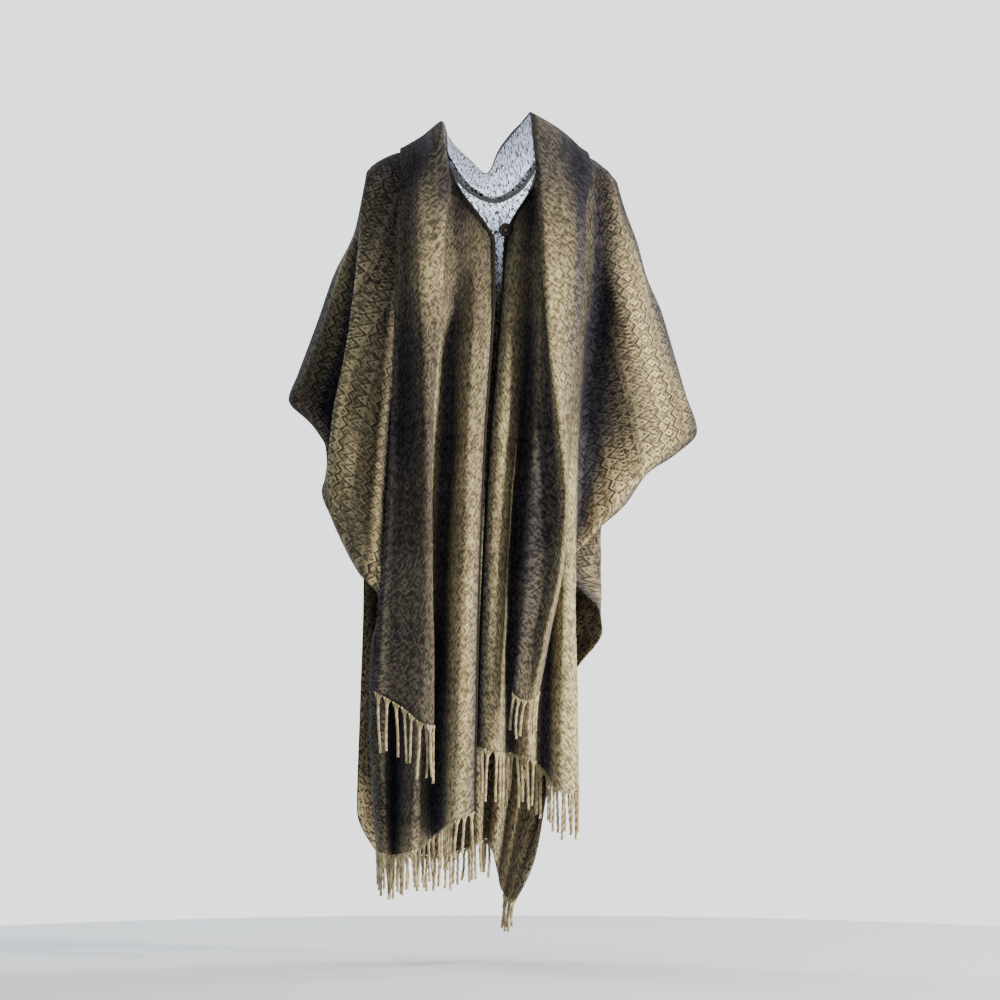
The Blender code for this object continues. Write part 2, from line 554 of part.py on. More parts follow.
def binding(line, normals, material):
    """The tape that binds the front edges and the neckline, as one round-edged tube."""
    centres = moved_off(line, normals, BINDING_GAP + BINDING_RADIUS)
    along = unit(np.gradient(centres, axis=0))
    wide = unit(np.cross(along, normals))
    thick = np.cross(wide, along)
    return swept("edge_binding", centres, wide * BINDING_RADIUS, thick * BINDING_RADIUS,
                 BINDING_SIDES, material)


def button(material):
    """A turned disc with a raised rim, its axis along Y and its face to the front."""
    points, faces, rings = [], [], []
    for radius, height in BUTTON_PROFILE:
        ring = []
        for k in range(BUTTON_STEPS if radius else 1):
            turn = 2 * math.pi * k / BUTTON_STEPS
            ring.append(len(points))
            points.append((
                BUTTON_ACROSS + radius * math.cos(turn),
                BUTTON_BACK - height,
                -BUTTON_DROP + radius * math.sin(turn),
            ))
        rings.append(ring)
    for low, high in zip(rings, rings[1:]):
        for k in range(BUTTON_STEPS):
            corners = [low[k % len(low)], low[(k + 1) % len(low)],
                       high[(k + 1) % len(high)], high[k % len(high)]]
            faces.append(tuple(dict.fromkeys(corners)))
    return add_object("button", points, faces, material)


def shank(material):
    """The wound thread that stands the button off the cloth."""
    ends = np.array([(BUTTON_ACROSS, depth, -BUTTON_DROP) for depth in (SHANK_BACK, SHANK_FRONT)])
    across = np.tile((SHANK_RADIUS, 0.0, 0.0), (2, 1))
    up = np.tile((0.0, 0.0, SHANK_RADIUS), (2, 1))
    return swept("button_shank", ends, across, up, SHANK_SIDES, material)


def loop(material):
    """The elastic loop from the left edge round the button's shank."""
    route = np.array(LOOP_ROUTE, float)
    route[:, 2] *= -1
    length = np.concatenate([[0], np.cumsum(np.linalg.norm(np.diff(route, axis=0), axis=1))])
    centres = smooth(length, route, np.linspace(0, length[-1], LOOP_RINGS))
    along = unit(np.gradient(centres, axis=0))
    wide = unit(np.cross(along, (0.0, 1.0, 0.0)))
    thick = np.cross(wide, along)
    return swept("button_loop", centres, wide * LOOP_RADIUS, thick * LOOP_RADIUS, LOOP_SIDES,
                 material)


def clear_scene():
    for obj in list(bpy.data.objects):
        bpy.data.objects.remove(obj)


def main():
    clear_scene()
    materials = {name: make_material(name) for name in COLOURS}
    tables = {
        "front_left": (FRONT_LEFT, -1), "front_right": (FRONT_RIGHT, -1), "back": (BACK, 1),
        "scarf_left": (SCARF_LEFT, 0), "scarf_right": (SCARF_RIGHT, 0),
        "scarf_neck": (SCARF_NECK, 0),
    }
    sheets = {name: make_sheet(folds, side) for name, (folds, side) in tables.items()}
    grids = {name: panel_grid(name, tables[name][0], sheets[name]) for name in tables}
    grids["scarf_left"] = lifted_clear(grids["scarf_left"], grids["front_left"], 1)
    grids["scarf_right"] = lifted_clear(grids["scarf_right"], grids["front_right"], -1)
    grids["scarf_neck"] = lifted_clear(grids["scarf_neck"], grids["back"], 1, sewn_rows=1)
    for name, grid in grids.items():
        thickness = SCARF_CLOTH if name.startswith("scarf") else CLOTH
        cloth_wall(name, grid, thickness, materials["wool_cloth"])
    for name, row in FRINGES.items():
        fringe(name, sheets[row.panel], materials["fringe_yarn"])
    binding(*open_edges(grids), materials["edge_tape"])
    button(materials["button_horn"])
    shank(materials["shank_thread"])
    loop(materials["loop_cord"])


main()
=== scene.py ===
"""The looks of a long open-front blanket poncho with a scarf sewn along its neckline.

The tables are in millimetres, as a maker would note them: X runs across the wearer, -Y is the front
and drop is the distance down from the shoulder crests. Meshes are made in metres.
"""

import math
import random
from collections import namedtuple

import bmesh
import bpy
import numpy as np
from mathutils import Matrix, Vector, noise
from mathutils.bvhtree import BVHTree


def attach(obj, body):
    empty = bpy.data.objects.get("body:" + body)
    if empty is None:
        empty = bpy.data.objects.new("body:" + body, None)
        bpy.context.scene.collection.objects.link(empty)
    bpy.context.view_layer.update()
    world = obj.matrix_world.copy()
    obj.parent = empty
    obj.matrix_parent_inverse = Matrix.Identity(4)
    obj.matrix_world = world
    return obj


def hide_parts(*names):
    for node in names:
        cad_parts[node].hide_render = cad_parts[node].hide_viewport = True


bl_info = {
    "name": "Blanket poncho",
    "version": (1, 0, 0),
    "blender": (4, 5, 0),
    "location": "View3D > Sidebar > Poncho",
    "description": "Makes a fringed open-front poncho with a scarf collar, in woven blanket cloth",
    "category": "Add Mesh",
}

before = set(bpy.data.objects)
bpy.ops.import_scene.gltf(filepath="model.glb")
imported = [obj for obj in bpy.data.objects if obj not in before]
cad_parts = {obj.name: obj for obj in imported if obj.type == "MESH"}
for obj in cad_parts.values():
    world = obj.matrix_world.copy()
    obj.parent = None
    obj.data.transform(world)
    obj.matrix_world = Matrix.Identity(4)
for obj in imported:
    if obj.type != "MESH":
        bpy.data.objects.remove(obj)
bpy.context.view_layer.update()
BODY = "root"

MM = 0.001
# The gap between two panels at a seam.
SEAM = 0.3
# A fold that starts on a shoulder crest is rounded over it at these degrees of its turn, where its
# first stretch reaches at least this far forward or back.
CREST_ANGLES = (28.0, 58.0)
STRAIGHT_START = 20.0

# A fold is a ridge, valley or edge that runs down a panel. Each of its stations has four columns:
# the share of the way from the top edge to the hem, the place across, the depth and the drop.
Fold = namedtuple("Fold", "name stations")

LEFT_SILHOUETTE = (
    (0.0, -207, 0, 42), (0.045, -215, 0, 89), (0.095, -226, 0, 139), (0.17, -261, 0, 213),
    (0.24, -285, 0, 282), (0.34, -320, 0, 376), (0.38, -335, 0, 417),
)
RIGHT_SILHOUETTE = (
    (0.0, 206, 0, 58), (0.045, 219, 0, 104), (0.10, 239, 0, 158), (0.15, 254, 0, 213),
    (0.21, 279, 0, 272), (0.27, 297, 0, 332), (0.345, 320, 0, 411), (0.40, 338, 0, 469),
)

FRONT_LEFT = (
    Fold("edge", (
        (0, 1, -104, 154), (0.14, 1, -116, 240), (0.40, -14, -124, 500), (0.64, -24, -122, 780),
        (1, -29, -118, 1091))),
    Fold("ridge_1", (
        (0, -25, -92, 116), (0.14, -22, -114, 230), (0.28, -30, -130, 360), (0.40, -38, -134, 500),
        (0.64, -50, -136, 784), (1, -61, -132, 1105))),
    Fold("valley_1", (
        (0, -55, -70, 76), (0.14, -61, -98, 219), (0.28, -69, -90, 360), (0.40, -74, -78, 500),
        (0.64, -84, -68, 784), (1, -92, -60, 1130))),
    Fold("ridge_2", (
        (0, -90, 0, 3), (0.14, -97, -100, 203), (0.28, -102, -112, 351), (0.40, -109, -114, 500),
        (0.64, -117, -110, 784), (1, -130, -104, 1155))),
    Fold("valley_2", (
        (0, -119, 0, 8), (0.14, -144, -88, 190), (0.28, -149, -78, 343), (0.40, -155, -66, 492),
        (0.64, -158, -50, 784), (1, -163, -46, 1165))),
    Fold("ridge_3", (
        (0, -152, 0, 10), (0.14, -177, -84, 178), (0.28, -190, -96, 335), (0.40, -205, -98, 483),
        (0.52, -208, -88, 640), (0.64, -172, -64, 752), (0.80, -179, -76, 920), (1, -172, -78, 1163))),
    Fold("rim", (
        (0, -188, 0, 26), (0.14, -218, -70, 165), (0.28, -232, -92, 295), (0.40, -262, -90, 462),
        (0.47, -268, -80, 552), (0.52, -260, -84, 602), (0.56, -246, -84, 642), (0.60, -205, -74, 712),
        (0.64, -178, -53, 749), (0.72, -192, -66, 828), (0.80, -195, -66, 920), (1, -184, -66, 1158))),
    Fold("recess", (
        (0, -197, 0, 33), (0.045, -206, -20, 66), (0.095, -216, -40, 112), (0.14, -219, -42, 168),
        (0.28, -232, -24, 308), (0.38, -256, -18, 442), (0.43, -262, -24, 482), (0.47, -270, -52, 530),
        (0.52, -270, -74, 584), (0.56, -254, -80, 627), (0.60, -211, -66, 707), (0.64, -181, -41, 747),
        (0.72, -200, -46, 828), (0.80, -202, -44, 922), (1, -190, -44, 1153))),
    Fold("wing", (
        (0, -202, 0, 37), (0.045, -210, -12, 79), (0.095, -221, -22, 129), (0.14, -236, -30, 177),
        (0.28, -270, -38, 316), (0.38, -304, -28, 415), (0.43, -278, -18, 464), (0.47, -272, -36, 517),
        (0.52, -275, -66, 574), (0.56, -259, -74, 619), (0.60, -216, -56, 703), (0.64, -184, -29, 745),
        (0.72, -198, -28, 829), (0.80, -199, -26, 925), (1, -186, -26, 1154))),
    Fold("selvedge", LEFT_SILHOUETTE + (
        (0.42, -305, -6, 450), (0.46, -276, -14, 483), (0.49, -266, -34, 525), (0.52, -279, -60, 566),
        (0.56, -263, -68, 612), (0.60, -220, -46, 700), (0.64, -186, -18, 743), (0.72, -192, -12, 830),
        (0.80, -191, -10, 928), (1, -178, -10, 1156))),
)

FRONT_RIGHT = (
    Fold("edge", (
        (0, 25, -90, 146), (0.14, 19, -98, 238), (0.40, -3, -110, 500), (0.64, -15, -109, 740),
        (1, -23, -103, 985))),
    Fold("ridge_1", (
        (0, 43, -82, 113), (0.14, 34, -108, 230), (0.28, 27, -122, 360), (0.40, 18, -126, 500),
        (0.64, 7, -125, 742), (1, 3, -121, 992))),
    Fold("valley_1", (
        (0, 66, -60, 76), (0.14, 63, -90, 222), (0.28, 58, -76, 360), (0.40, 51, -64, 500),
        (0.64, 34, -56, 745), (1, 32, -52, 998))),
    Fold("ridge_2", (
        (0, 91, 0, 3), (0.14, 87, -98, 205), (0.28, 87, -112, 355), (0.40, 84, -112, 498),
        (0.64, 66, -106, 745), (1, 60, -98, 1003))),
    Fold("valley_2", (
        (0, 115, 0, 9), (0.14, 112, -92, 190), (0.28, 109, -82, 350), (0.40, 106, -72, 492),
        (0.64, 92, -58, 745), (1, 88, -54, 1028))),
    Fold("ridge_3", (
        (0, 140, 0, 11), (0.14, 137, -84, 178), (0.28, 133, -94, 335), (0.40, 127, -98, 485),
        (0.64, 116, -106, 742), (1, 112, -106, 1056))),
    Fold("ridge_3_side", (
        (0, 160, 0, 18), (0.14, 158, -72, 170), (0.28, 149, -70, 330), (0.40, 139, -74, 480),
        (0.60, 137, -78, 690), (0.80, 139, -80, 880), (1, 141, -80, 1054))),
    Fold("valley_3", (
        (0, 178, 0, 30), (0.14, 178, -54, 172), (0.27, 164, -46, 318), (0.40, 148, -42, 470),
        (0.52, 141, -50, 600), (0.60, 136, -66, 684), (0.70, 135, -66, 800), (1, 137, -64, 1052))),
    Fold("wing_front", (
        (0, 192, 0, 42), (0.14, 206, -56, 182), (0.27, 224, -68, 330), (0.40, 244, -64, 490),
        (0.50, 190, -66, 592), (0.56, 154, -62, 650), (0.60, 134, -56, 677), (0.70, 132, -52, 800),
        (1, 134, -50, 1051))),
    Fold("wing_back", (
        (0, 200, 0, 51), (0.045, 211, -17, 96), (0.10, 226, -29, 152), (0.14, 236, -36, 192),
        (0.27, 266, -46, 334), (0.40, 302, -38, 478), (0.46, 262, -48, 530), (0.50, 206, -58, 588),
        (0.56, 160, -52, 645), (0.60, 132, -44, 672), (0.70, 126, -38, 800), (1, 128, -36, 1050))),
    Fold("roll", (
        (0, 203, 0, 54), (0.045, 215.5, -7, 101), (0.10, 234.5, -11, 156), (0.14, 246, -14, 198),
        (0.27, 290, -16, 335), (0.40, 331, -11, 470), (0.44, 298, -22, 507), (0.47, 254, -35, 535),
        (0.50, 214, -46, 587), (0.56, 162, -41, 641), (0.60, 130, -30, 669), (0.70, 119, -24, 800),
        (1, 121, -22, 1050))),
    Fold("selvedge", RIGHT_SILHOUETTE + (
        (0.44, 300, -18, 509), (0.47, 256, -28, 538), (0.50, 219, -37, 590), (0.56, 164, -31, 637),
        (0.60, 127, -17, 667), (0.70, 113, -10, 800), (1, 115, -8, 1050))),
)

BACK = (
    Fold("selvedge_left", LEFT_SILHOUETTE + (
        (0.42, -305, 20, 448), (0.46, -270, 42, 500), (0.54, -228, 56, 610), (0.62, -212, 44, 716),
        (0.80, -218, 38, 930), (0.93, -223, 36, 1094), (1, -190, 36, 1165))),
    Fold("roll_left", (
        (0, -204, 0, 38), (0.045, -212, 7, 86), (0.095, -223, 11, 136), (0.17, -256, 15, 212),
        (0.28, -292, 15, 318), (0.38, -327, 10, 412), (0.46, -262, 56, 492), (0.54, -220, 70, 600),
        (0.62, -206, 58, 716), (0.80, -208, 54, 930), (0.93, -212, 52, 1094), (1, -182, 50, 1166))),
    Fold("wing_left", (
        (0, -197, 0, 33), (0.045, -206, 22, 76), (0.095, -215, 36, 126), (0.17, -236, 50, 200),
        (0.28, -264, 60, 305), (0.38, -292, 52, 415), (0.46, -240, 84, 492), (0.54, -204, 96, 600),
        (0.62, -190, 90, 716), (0.80, -188, 86, 930), (1, -166, 84, 1168))),
    Fold("valley_1", (
        (0, -188, 0, 26), (0.14, -186, 64, 172), (0.28, -206, 66, 315), (0.40, -212, 60, 470),
        (0.54, -176, 64, 620), (0.62, -166, 60, 720), (0.80, -160, 56, 930), (1, -140, 58, 1172))),
    Fold("ridge_1", (
        (0, -152, 0, 10), (0.14, -150, 92, 178), (0.28, -156, 104, 325), (0.40, -154, 112, 480),
        (0.62, -138, 118, 730), (0.80, -126, 122, 935), (1, -112, 124, 1174))),
    Fold("valley_2", (
        (0, -119, 0, 8), (0.14, -112, 92, 184), (0.40, -108, 80, 488), (0.62, -104, 74, 740),
        (1, -84, 72, 1172))),
    Fold("ridge_2", (
        (0, -90, 0, 3), (0.14, -76, 104, 190), (0.40, -66, 120, 495), (0.62, -62, 128, 748),
        (1, -50, 132, 1165))),
    Fold("valley_3", (
        (0, -45, 56, 68), (0.14, -36, 100, 208), (0.40, -28, 86, 505), (0.62, -26, 78, 760),
        (1, -24, 76, 1150))),
    Fold("ridge_3", (
        (0, 4, 72, 89), (0.14, 4, 108, 218), (0.40, 10, 122, 510), (0.62, 10, 128, 765),
        (0.80, 2, 122, 960), (1, -10, 110, 1146))),
    Fold("valley_4", (
        (0, 50, 56, 68), (0.14, 42, 100, 208), (0.40, 46, 86, 505), (0.62, 42, 78, 760),
        (0.80, 24, 76, 965), (1, 1, 82, 1168))),
    Fold("ridge_4", (
        (0, 91, 0, 3), (0.14, 78, 104, 190), (0.40, 80, 120, 495), (0.62, 74, 122, 750),
        (0.80, 46, 110, 970), (1, 11, 96, 1212))),
    Fold("valley_5", (
        (0, 115, 0, 9), (0.14, 112, 92, 184), (0.40, 116, 84, 488), (0.62, 104, 84, 745),
        (0.80, 64, 86, 975), (1, 18, 82, 1234))),
    Fold("ridge_5", (
        (0, 160, 0, 18), (0.14, 152, 90, 178), (0.28, 156, 102, 325), (0.40, 160, 108, 480),
        (0.54, 158, 104, 620), (0.62, 142, 102, 740), (0.80, 82, 98, 980), (1, 23, 86, 1240))),
    Fold("cascade_back", (
        (0, 185, 0, 36), (0.14, 196, 62, 178), (0.28, 216, 72, 320), (0.40, 234, 70, 470),
        (0.48, 196, 88, 560), (0.54, 174, 84, 650), (0.62, 160, 76, 745), (0.70, 118, 74, 845),
        (0.80, 92, 76, 985), (0.90, 68, 74, 1110), (1, 28, 76, 1243))),
    Fold("cascade_fold", (
        (0, 197, 0, 48), (0.045, 209, 19, 92), (0.10, 223, 32, 146), (0.14, 232, 38, 186),
        (0.28, 274, 42, 330), (0.40, 302, 36, 470), (0.46, 236, 70, 520), (0.50, 194, 66, 575),
        (0.54, 180, 46, 640), (0.58, 180, 36, 700), (0.62, 182, 42, 745), (0.65, 170, 62, 785),
        (0.70, 126, 80, 852), (0.80, 100, 86, 1000), (0.90, 75, 82, 1122), (1, 33, 75, 1243))),
    Fold("roll_right", (
        (0, 203, 0, 54), (0.045, 215.5, 7, 101), (0.10, 235, 12, 156), (0.14, 247, 14, 198),
        (0.28, 295, 15, 344), (0.40, 331, 11, 470), (0.46, 242, 56, 526), (0.50, 184, 54, 590),
        (0.54, 152, 34, 660), (0.58, 152, 18, 704), (0.62, 180, 27, 755), (0.65, 177, 50, 793),
        (0.70, 132, 68, 860), (0.80, 104, 72, 1000), (0.90, 78, 68, 1120), (1, 37, 67, 1243.5))),
    Fold("selvedge_right", RIGHT_SILHOUETTE + (
        (0.44, 286, 24, 498), (0.48, 214, 48, 556), (0.52, 150, 38, 630), (0.55, 129, 18, 680),
        (0.58, 131, 4, 712), (0.62, 176, 16, 764), (0.65, 182, 40, 800), (0.70, 137, 56, 868),
        (0.80, 108, 60, 1000), (0.86, 92, 57, 1061), (0.94, 71, 54, 1176), (1, 40, 58, 1244))),
)

SCARF_LEFT = (
    Fold("under", (
        (0, -74, 14, 2), (0.10, -84, -52, 12), (0.22, -86, -104, 130), (0.38, -92, -124, 260),
        (0.55, -106, -128, 430), (0.72, -114, -130, 600), (1, -114, -132, 935))),
    Fold("inner_fold", (
        (0, -83, 8, -43), (0.06, -80, -38, -26), (0.14, -71, -90, 63), (0.25, -78, -128, 150),
        (0.40, -82, -146, 280), (0.55, -95, -150, 430), (0.72, -98, -152, 600), (1, -94, -148, 950))),
    Fold("lit_ridge", (
        (0, -112, 4, -20), (0.08, -112, -62, 22), (0.22, -118, -132, 140), (0.40, -110, -162, 285),
        (0.55, -107, -168, 420), (0.72, -106, -162, 590), (1, -113, -158, 945))),
    Fold("shade", (
        (0, -134, 2, -5), (0.08, -133, -58, 40), (0.22, -139, -118, 150), (0.40, -138, -138, 292),
        (0.55, -136, -142, 430), (0.72, -140, -146, 600), (1, -146, -148, 920))),
    Fold("outer_edge", (
        (0, -151, 0, 3), (0.08, -151, -50, 48), (0.22, -157, -110, 160), (0.40, -160, -126, 300),
        (0.55, -164, -130, 440), (0.72, -173, -134, 600), (0.86, -185, -138, 760), (1, -193, -140, 893))),
)

SCARF_RIGHT = (
    Fold("tail_edge", (
        (0, 80, 14, 8), (0.08, 83, -44, 14), (0.20, 82, -108, 150), (0.34, 79, -130, 350),
        (0.45, 69, -144, 455), (0.56, 60, -150, 590), (0.80, 43, -148, 800), (1, 33, -144, 896))),
    Fold("tail_valley", (
        (0, 68, 12, -24), (0.08, 70, -46, -3), (0.15, 82, -96, 78), (0.21, 87, -120, 165),
        (0.28, 90, -131, 265), (0.45, 96, -142, 455), (0.56, 104, -141, 590), (0.66, 97, -144, 680),
        (0.80, 77, -145, 800), (1, 52, -150, 908))),
    Fold("inner_ridge", (
        (0, 63, 8, -58), (0.06, 66, -38, -34), (0.10, 70, -74, 10), (0.15, 74, -110, 76),
        (0.22, 80, -139, 170), (0.34, 92, -158, 330), (0.45, 108, -167, 450), (0.56, 119, -168, 575),
        (0.66, 112, -164, 680), (0.80, 88, -158, 800), (1, 66, -152, 908))),
    Fold("face", (
        (0, 112, 5, -29), (0.08, 112, -58, 18), (0.22, 117, -132, 165), (0.34, 119, -145, 320),
        (0.45, 122, -150, 440), (0.56, 124, -154, 570), (0.66, 117, -148, 682), (0.80, 92, -146, 800),
        (1, 72, -146, 902))),
    Fold("outer_edge", (
        (0, 155, 0, 12), (0.08, 155, -46, 60), (0.22, 150, -112, 178), (0.34, 144, -126, 310),
        (0.45, 132, -134, 430), (0.56, 122, -138, 565), (0.66, 116, -136, 684), (0.80, 95, -136, 800),
        (1, 77, -138, 893))),
)

# The scarf's stretch behind the neck. A row is one cut across it, and its stations run from the
# neckline up to the standing fold and down the flap that lies over the back.
SCARF_NECK = (
    Fold("left_end", (
        (0, -74, 15.2, 2), (0.33, -83, 9.2, -43), (0.66, -112, 5.2, -20), (1, -151, 1.2, 3))),
    Fold("left_back", ((0, -57, 30, 34), (0.33, -74, 64, -19), (0.66, -98, 92, 4), (1, -124, 96, 62))),
    Fold("left_middle", (
        (0, -28, 60, 66.4), (0.33, -32, 84, 22), (0.66, -40, 114, 42), (1, -56, 122, 112))),
    Fold("dip", ((0, 2, 69, 80.6), (0.33, -9, 88, 40), (0.66, 0, 116, 60), (1, -2, 126, 130))),
    Fold("right_rise", ((0, 28, 62, 70.4), (0.33, 14, 84, -4), (0.66, 40, 116, 40), (1, 52, 124, 122))),
    Fold("right_back", ((0, 57, 36, 39), (0.33, 43, 68, -38), (0.66, 84, 96, -8), (1, 119, 102, 58))),
    Fold("right_end", ((0, 80, 15.2, 8), (0.33, 63, 9.2, -58), (0.66, 112, 6.2, -29), (1, 155, 1.2, 12))),
)

PANELS = {
    "front_left": FRONT_LEFT, "front_right": FRONT_RIGHT, "back": BACK,
    "scarf_left": SCARF_LEFT, "scarf_right": SCARF_RIGHT, "scarf_neck": SCARF_NECK,
}
# Which way a panel's grid faces out, and the side of the shoulder crest that it hangs on.
OUTWARD = {"front_left": 1, "front_right": -1, "back": 1, "scarf_left": 1, "scarf_right": -1,
           "scarf_neck": 1}
CREST_SIDE = {"front_left": -1, "front_right": -1, "back": 1}
# The panel that each part of the scarf lies on, and how far from it the scarf is held off it.
LIES_ON = {"scarf_left": "front_left", "scarf_right": "front_right", "scarf_neck": "back"}
SCARF_REACH = 8.0
# How many of the neck stretch's rows of points are sewn in place at the neckline.
SEWN_ROWS = 3
# The share of the neck stretch from the neckline up to the crest of its standing fold.
NECK_CREST = 0.34
# The folds that the neckline reaches on each front, and the first and last one on the back.
NECK_FOLD_OF_FRONT = 3
NECK_FOLDS_OF_BACK = (6, 10)

# The line of a sleeve's top, in the plane of the shoulders, from the shoulder to the wing's tip,
# and the fold of each panel outside which the weave runs along that line.
Sleeve = namedtuple("Sleeve", "shoulder tip")
SLEEVES = {-1: Sleeve((-207.0, 42.0), (-335.0, 417.0)), 1: Sleeve((206.0, 58.0), (338.0, 469.0))}
WING_FOLDS = {"front_left": (None, 4), "front_right": (None, 7), "back": (3, 13)}

# Creases: the shares across and down where one starts and ends, its width and its height, which
# is negative for a trough.
Crease = namedtuple("Crease", "across_a down_a across_b down_b width height")
CREASES = {
    "front_left": (
        Crease(0.16, 0.12, 0.10, 0.42, 26, -3.0), Crease(0.07, 0.30, 0.13, 0.75, 22, 2.4),
        Crease(0.30, 0.18, 0.27, 0.60, 30, -2.6), Crease(0.48, 0.10, 0.60, 0.34, 34, 3.4),
        Crease(0.55, 0.16, 0.64, 0.44, 24, -3.2), Crease(0.50, 0.30, 0.60, 0.52, 30, 2.8),
        Crease(0.42, 0.40, 0.54, 0.60, 26, -2.4), Crease(0.20, 0.62, 0.24, 0.97, 24, 2.2),
        Crease(0.36, 0.66, 0.33, 0.95, 28, -2.8), Crease(0.80, 0.10, 0.86, 0.30, 22, -1.8),
    ),
    "front_right": (
        Crease(0.10, 0.10, 0.07, 0.40, 24, -2.8), Crease(0.05, 0.34, 0.11, 0.80, 22, 2.2),
        Crease(0.22, 0.14, 0.20, 0.55, 26, 2.4), Crease(0.62, 0.10, 0.76, 0.30, 34, 3.2),
        Crease(0.66, 0.15, 0.80, 0.38, 28, -3.0), Crease(0.68, 0.24, 0.76, 0.44, 30, 2.6),
        Crease(0.47, 0.50, 0.50, 0.92, 26, -2.4), Crease(0.30, 0.58, 0.27, 0.93, 24, 2.6),
        Crease(0.84, 0.14, 0.90, 0.33, 20, -1.8),
    ),
    "back": (
        Crease(0.10, 0.10, 0.16, 0.36, 34, 3.2), Crease(0.14, 0.18, 0.20, 0.50, 30, -3.0),
        Crease(0.30, 0.14, 0.27, 0.62, 34, 2.8), Crease(0.38, 0.12, 0.40, 0.44, 30, -2.8),
        Crease(0.46, 0.30, 0.44, 0.80, 36, 2.6), Crease(0.55, 0.12, 0.57, 0.52, 28, -3.0),
        Crease(0.64, 0.20, 0.62, 0.70, 34, 2.8), Crease(0.73, 0.10, 0.70, 0.42, 30, -2.6),
        Crease(0.83, 0.12, 0.80, 0.36, 32, 3.0), Crease(0.24, 0.60, 0.28, 0.96, 28, -2.4),
        Crease(0.52, 0.62, 0.50, 0.95, 28, 2.4), Crease(0.78, 0.60, 0.84, 0.92, 24, -2.2),
    ),
    "scarf_left": (
        Crease(0.44, 0.06, 0.40, 0.30, 20, 2.2), Crease(0.66, 0.10, 0.60, 0.44, 18, -2.2),
        Crease(0.55, 0.48, 0.62, 0.80, 22, 1.8), Crease(0.82, 0.30, 0.78, 0.66, 18, -1.8),
        Crease(0.30, 0.66, 0.36, 0.96, 20, 1.6),
    ),
    "scarf_right": (
        Crease(0.70, 0.08, 0.66, 0.34, 20, 2.0), Crease(0.84, 0.12, 0.80, 0.40, 18, -2.0),
        Crease(0.60, 0.56, 0.70, 0.84, 16, -1.4),
    ),
    "scarf_neck": (
        Crease(0.20, 0.30, 0.34, 0.80, 18, 2.0), Crease(0.44, 0.45, 0.50, 0.95, 18, -2.0),
        Crease(0.66, 0.40, 0.76, 0.90, 20, 2.2), Crease(0.86, 0.30, 0.80, 0.80, 18, -1.8),
    ),
}

# How far a crease bows sideways and fades at its ends, as shares of its length, and how steep it is.
CREASE_BOW = 0.06
CREASE_FADE = 0.3
CREASE_STEEPNESS = 1.7
# How far apart the swells and the puckers lie along X, Y and Z, and the puckers' share of height.
SWELLS = (34, 40, 150)
PUCKERS = (13, 16, 34)
PUCKER_SHARE = 0.35
# A fold is deep or high against the cloth this far around it, by this height from full painted shade to
# none.
HOLLOW_REACH = 60
HOLLOW_HEIGHT = 17

# Where painted shadow darkens the wool, by panel, in patches that stand for shade. Each patch has a
# strength and the ramps that bound it: what the ramp follows, where it starts, where it is full,
# and its least share.
Patch = namedtuple("Patch", "strength ramps")
PAINTED_SHADOWS = {
    "every panel": (
        Patch(0.94, (("drop", 260, 20, 0),)),
        Patch(0.72, (("x", -238, -278, 0), ("drop", 490, 430, 0))),
    ),
    "front_left": (
        Patch(0.86, (("down", 0.56, 0.68, 0), ("across", 0.14, 0.26, 0), ("down", 1.0, 0.94, 0.5))),
    ),
    "front_right": (
        Patch(0.80, (("across", 0.42, 0.48, 0), ("across", 0.80, 0.68, 0), ("down", 0.47, 0.35, 0))),
    ),
    "scarf_left": (
        Patch(0.84, (("down", 0.24, 0.50, 0), ("across", 0.97, 0.87, 0), ("across", 0.10, 0.30, 0))),
    ),
    "scarf_right": (Patch(0.30, (("down", 0.30, 0.60, 0),)),),
}

# A fringe hangs from a panel's hem between two shares across it: how many tassels, and how long.
Fringe = namedtuple("Fringe", "panel first last tassels length")
FRINGES = {
    "fringe_front_left": Fringe("front_left", 0.0, 1.0, 27, 70),
    "fringe_front_right": Fringe("front_right", 0.0, 1.0, 24, 82),
    "fringe_back": Fringe("back", 0.0, 0.54, 26, 58),
    "fringe_back_corner": Fringe("back", 0.70, 1.0, 5, 53),
    "fringe_scarf_left": Fringe("scarf_left", 0.0, 1.0, 9, 90),
    "fringe_scarf_right": Fringe("scarf_right", 0.0, 1.0, 6, 68),
}

# The share down a panel from which the cloth's way down at its hem is taken.
HEM_START = 0.985
TASSEL_RINGS = 18
# The least and the greatest share of its length that a tassel has, and how it leans and swings.
TASSEL_SHARES = (0.86, 1.08)
TASSEL_LEAN = 0.20
TASSEL_SWING = 3.2
# How far to its sides a tassel gathers yarn from the hem, in shares of the room that it has.
LEG_REACH = 0.36
LEG_POINTS = 6
# The distance of a ply's axis from the tassel's, in shares of half its thickness.
PLY_SPREAD = 0.95

# Rows of the weave, from the crest down: the motif and the height of its band in millimetres.
BODY_ROWS = (
    ("teeth", 21), ("zigzag", 16), ("teeth", 21), ("plain", 13), ("zigzag", 16), ("eyes", 18),
    ("zigzag", 16), ("ticks", 8), ("teeth", 21), ("plain", 10), ("diamonds", 22), ("ticks", 8),
)
SCARF_ROWS = (
    ("diamonds", 32), ("zigzag", 19), ("plain", 13), ("ticks", 9), ("plain", 15), ("eyes", 19),
    ("zigzag", 17), ("plain", 17), ("ticks", 9), ("plain", 13),
)
MOTIF_WIDTH = 20.0
YARN_CELL = 1.4
# How clearly the motifs stand out of the nap: on the wings, on the rest of the body, on the scarf.
CLEARNESS = {"wing": 1.0, "middle": 0.5, "scarf": 0.62}

# The rest of the cloth's finish is in metres.
# No motif up to the first distance from a side edge or a hem, and all of it from the second.
PLAIN_EDGE = (0.012, 0.016)
PLAIN_HEM = (0.010, 0.060)
# How far the rows drift and the nap blurs them, and how high the yarn and the nap stand.
DRIFT = 0.007
BLUR = 0.0030
NAP_HEIGHT = 0.0011
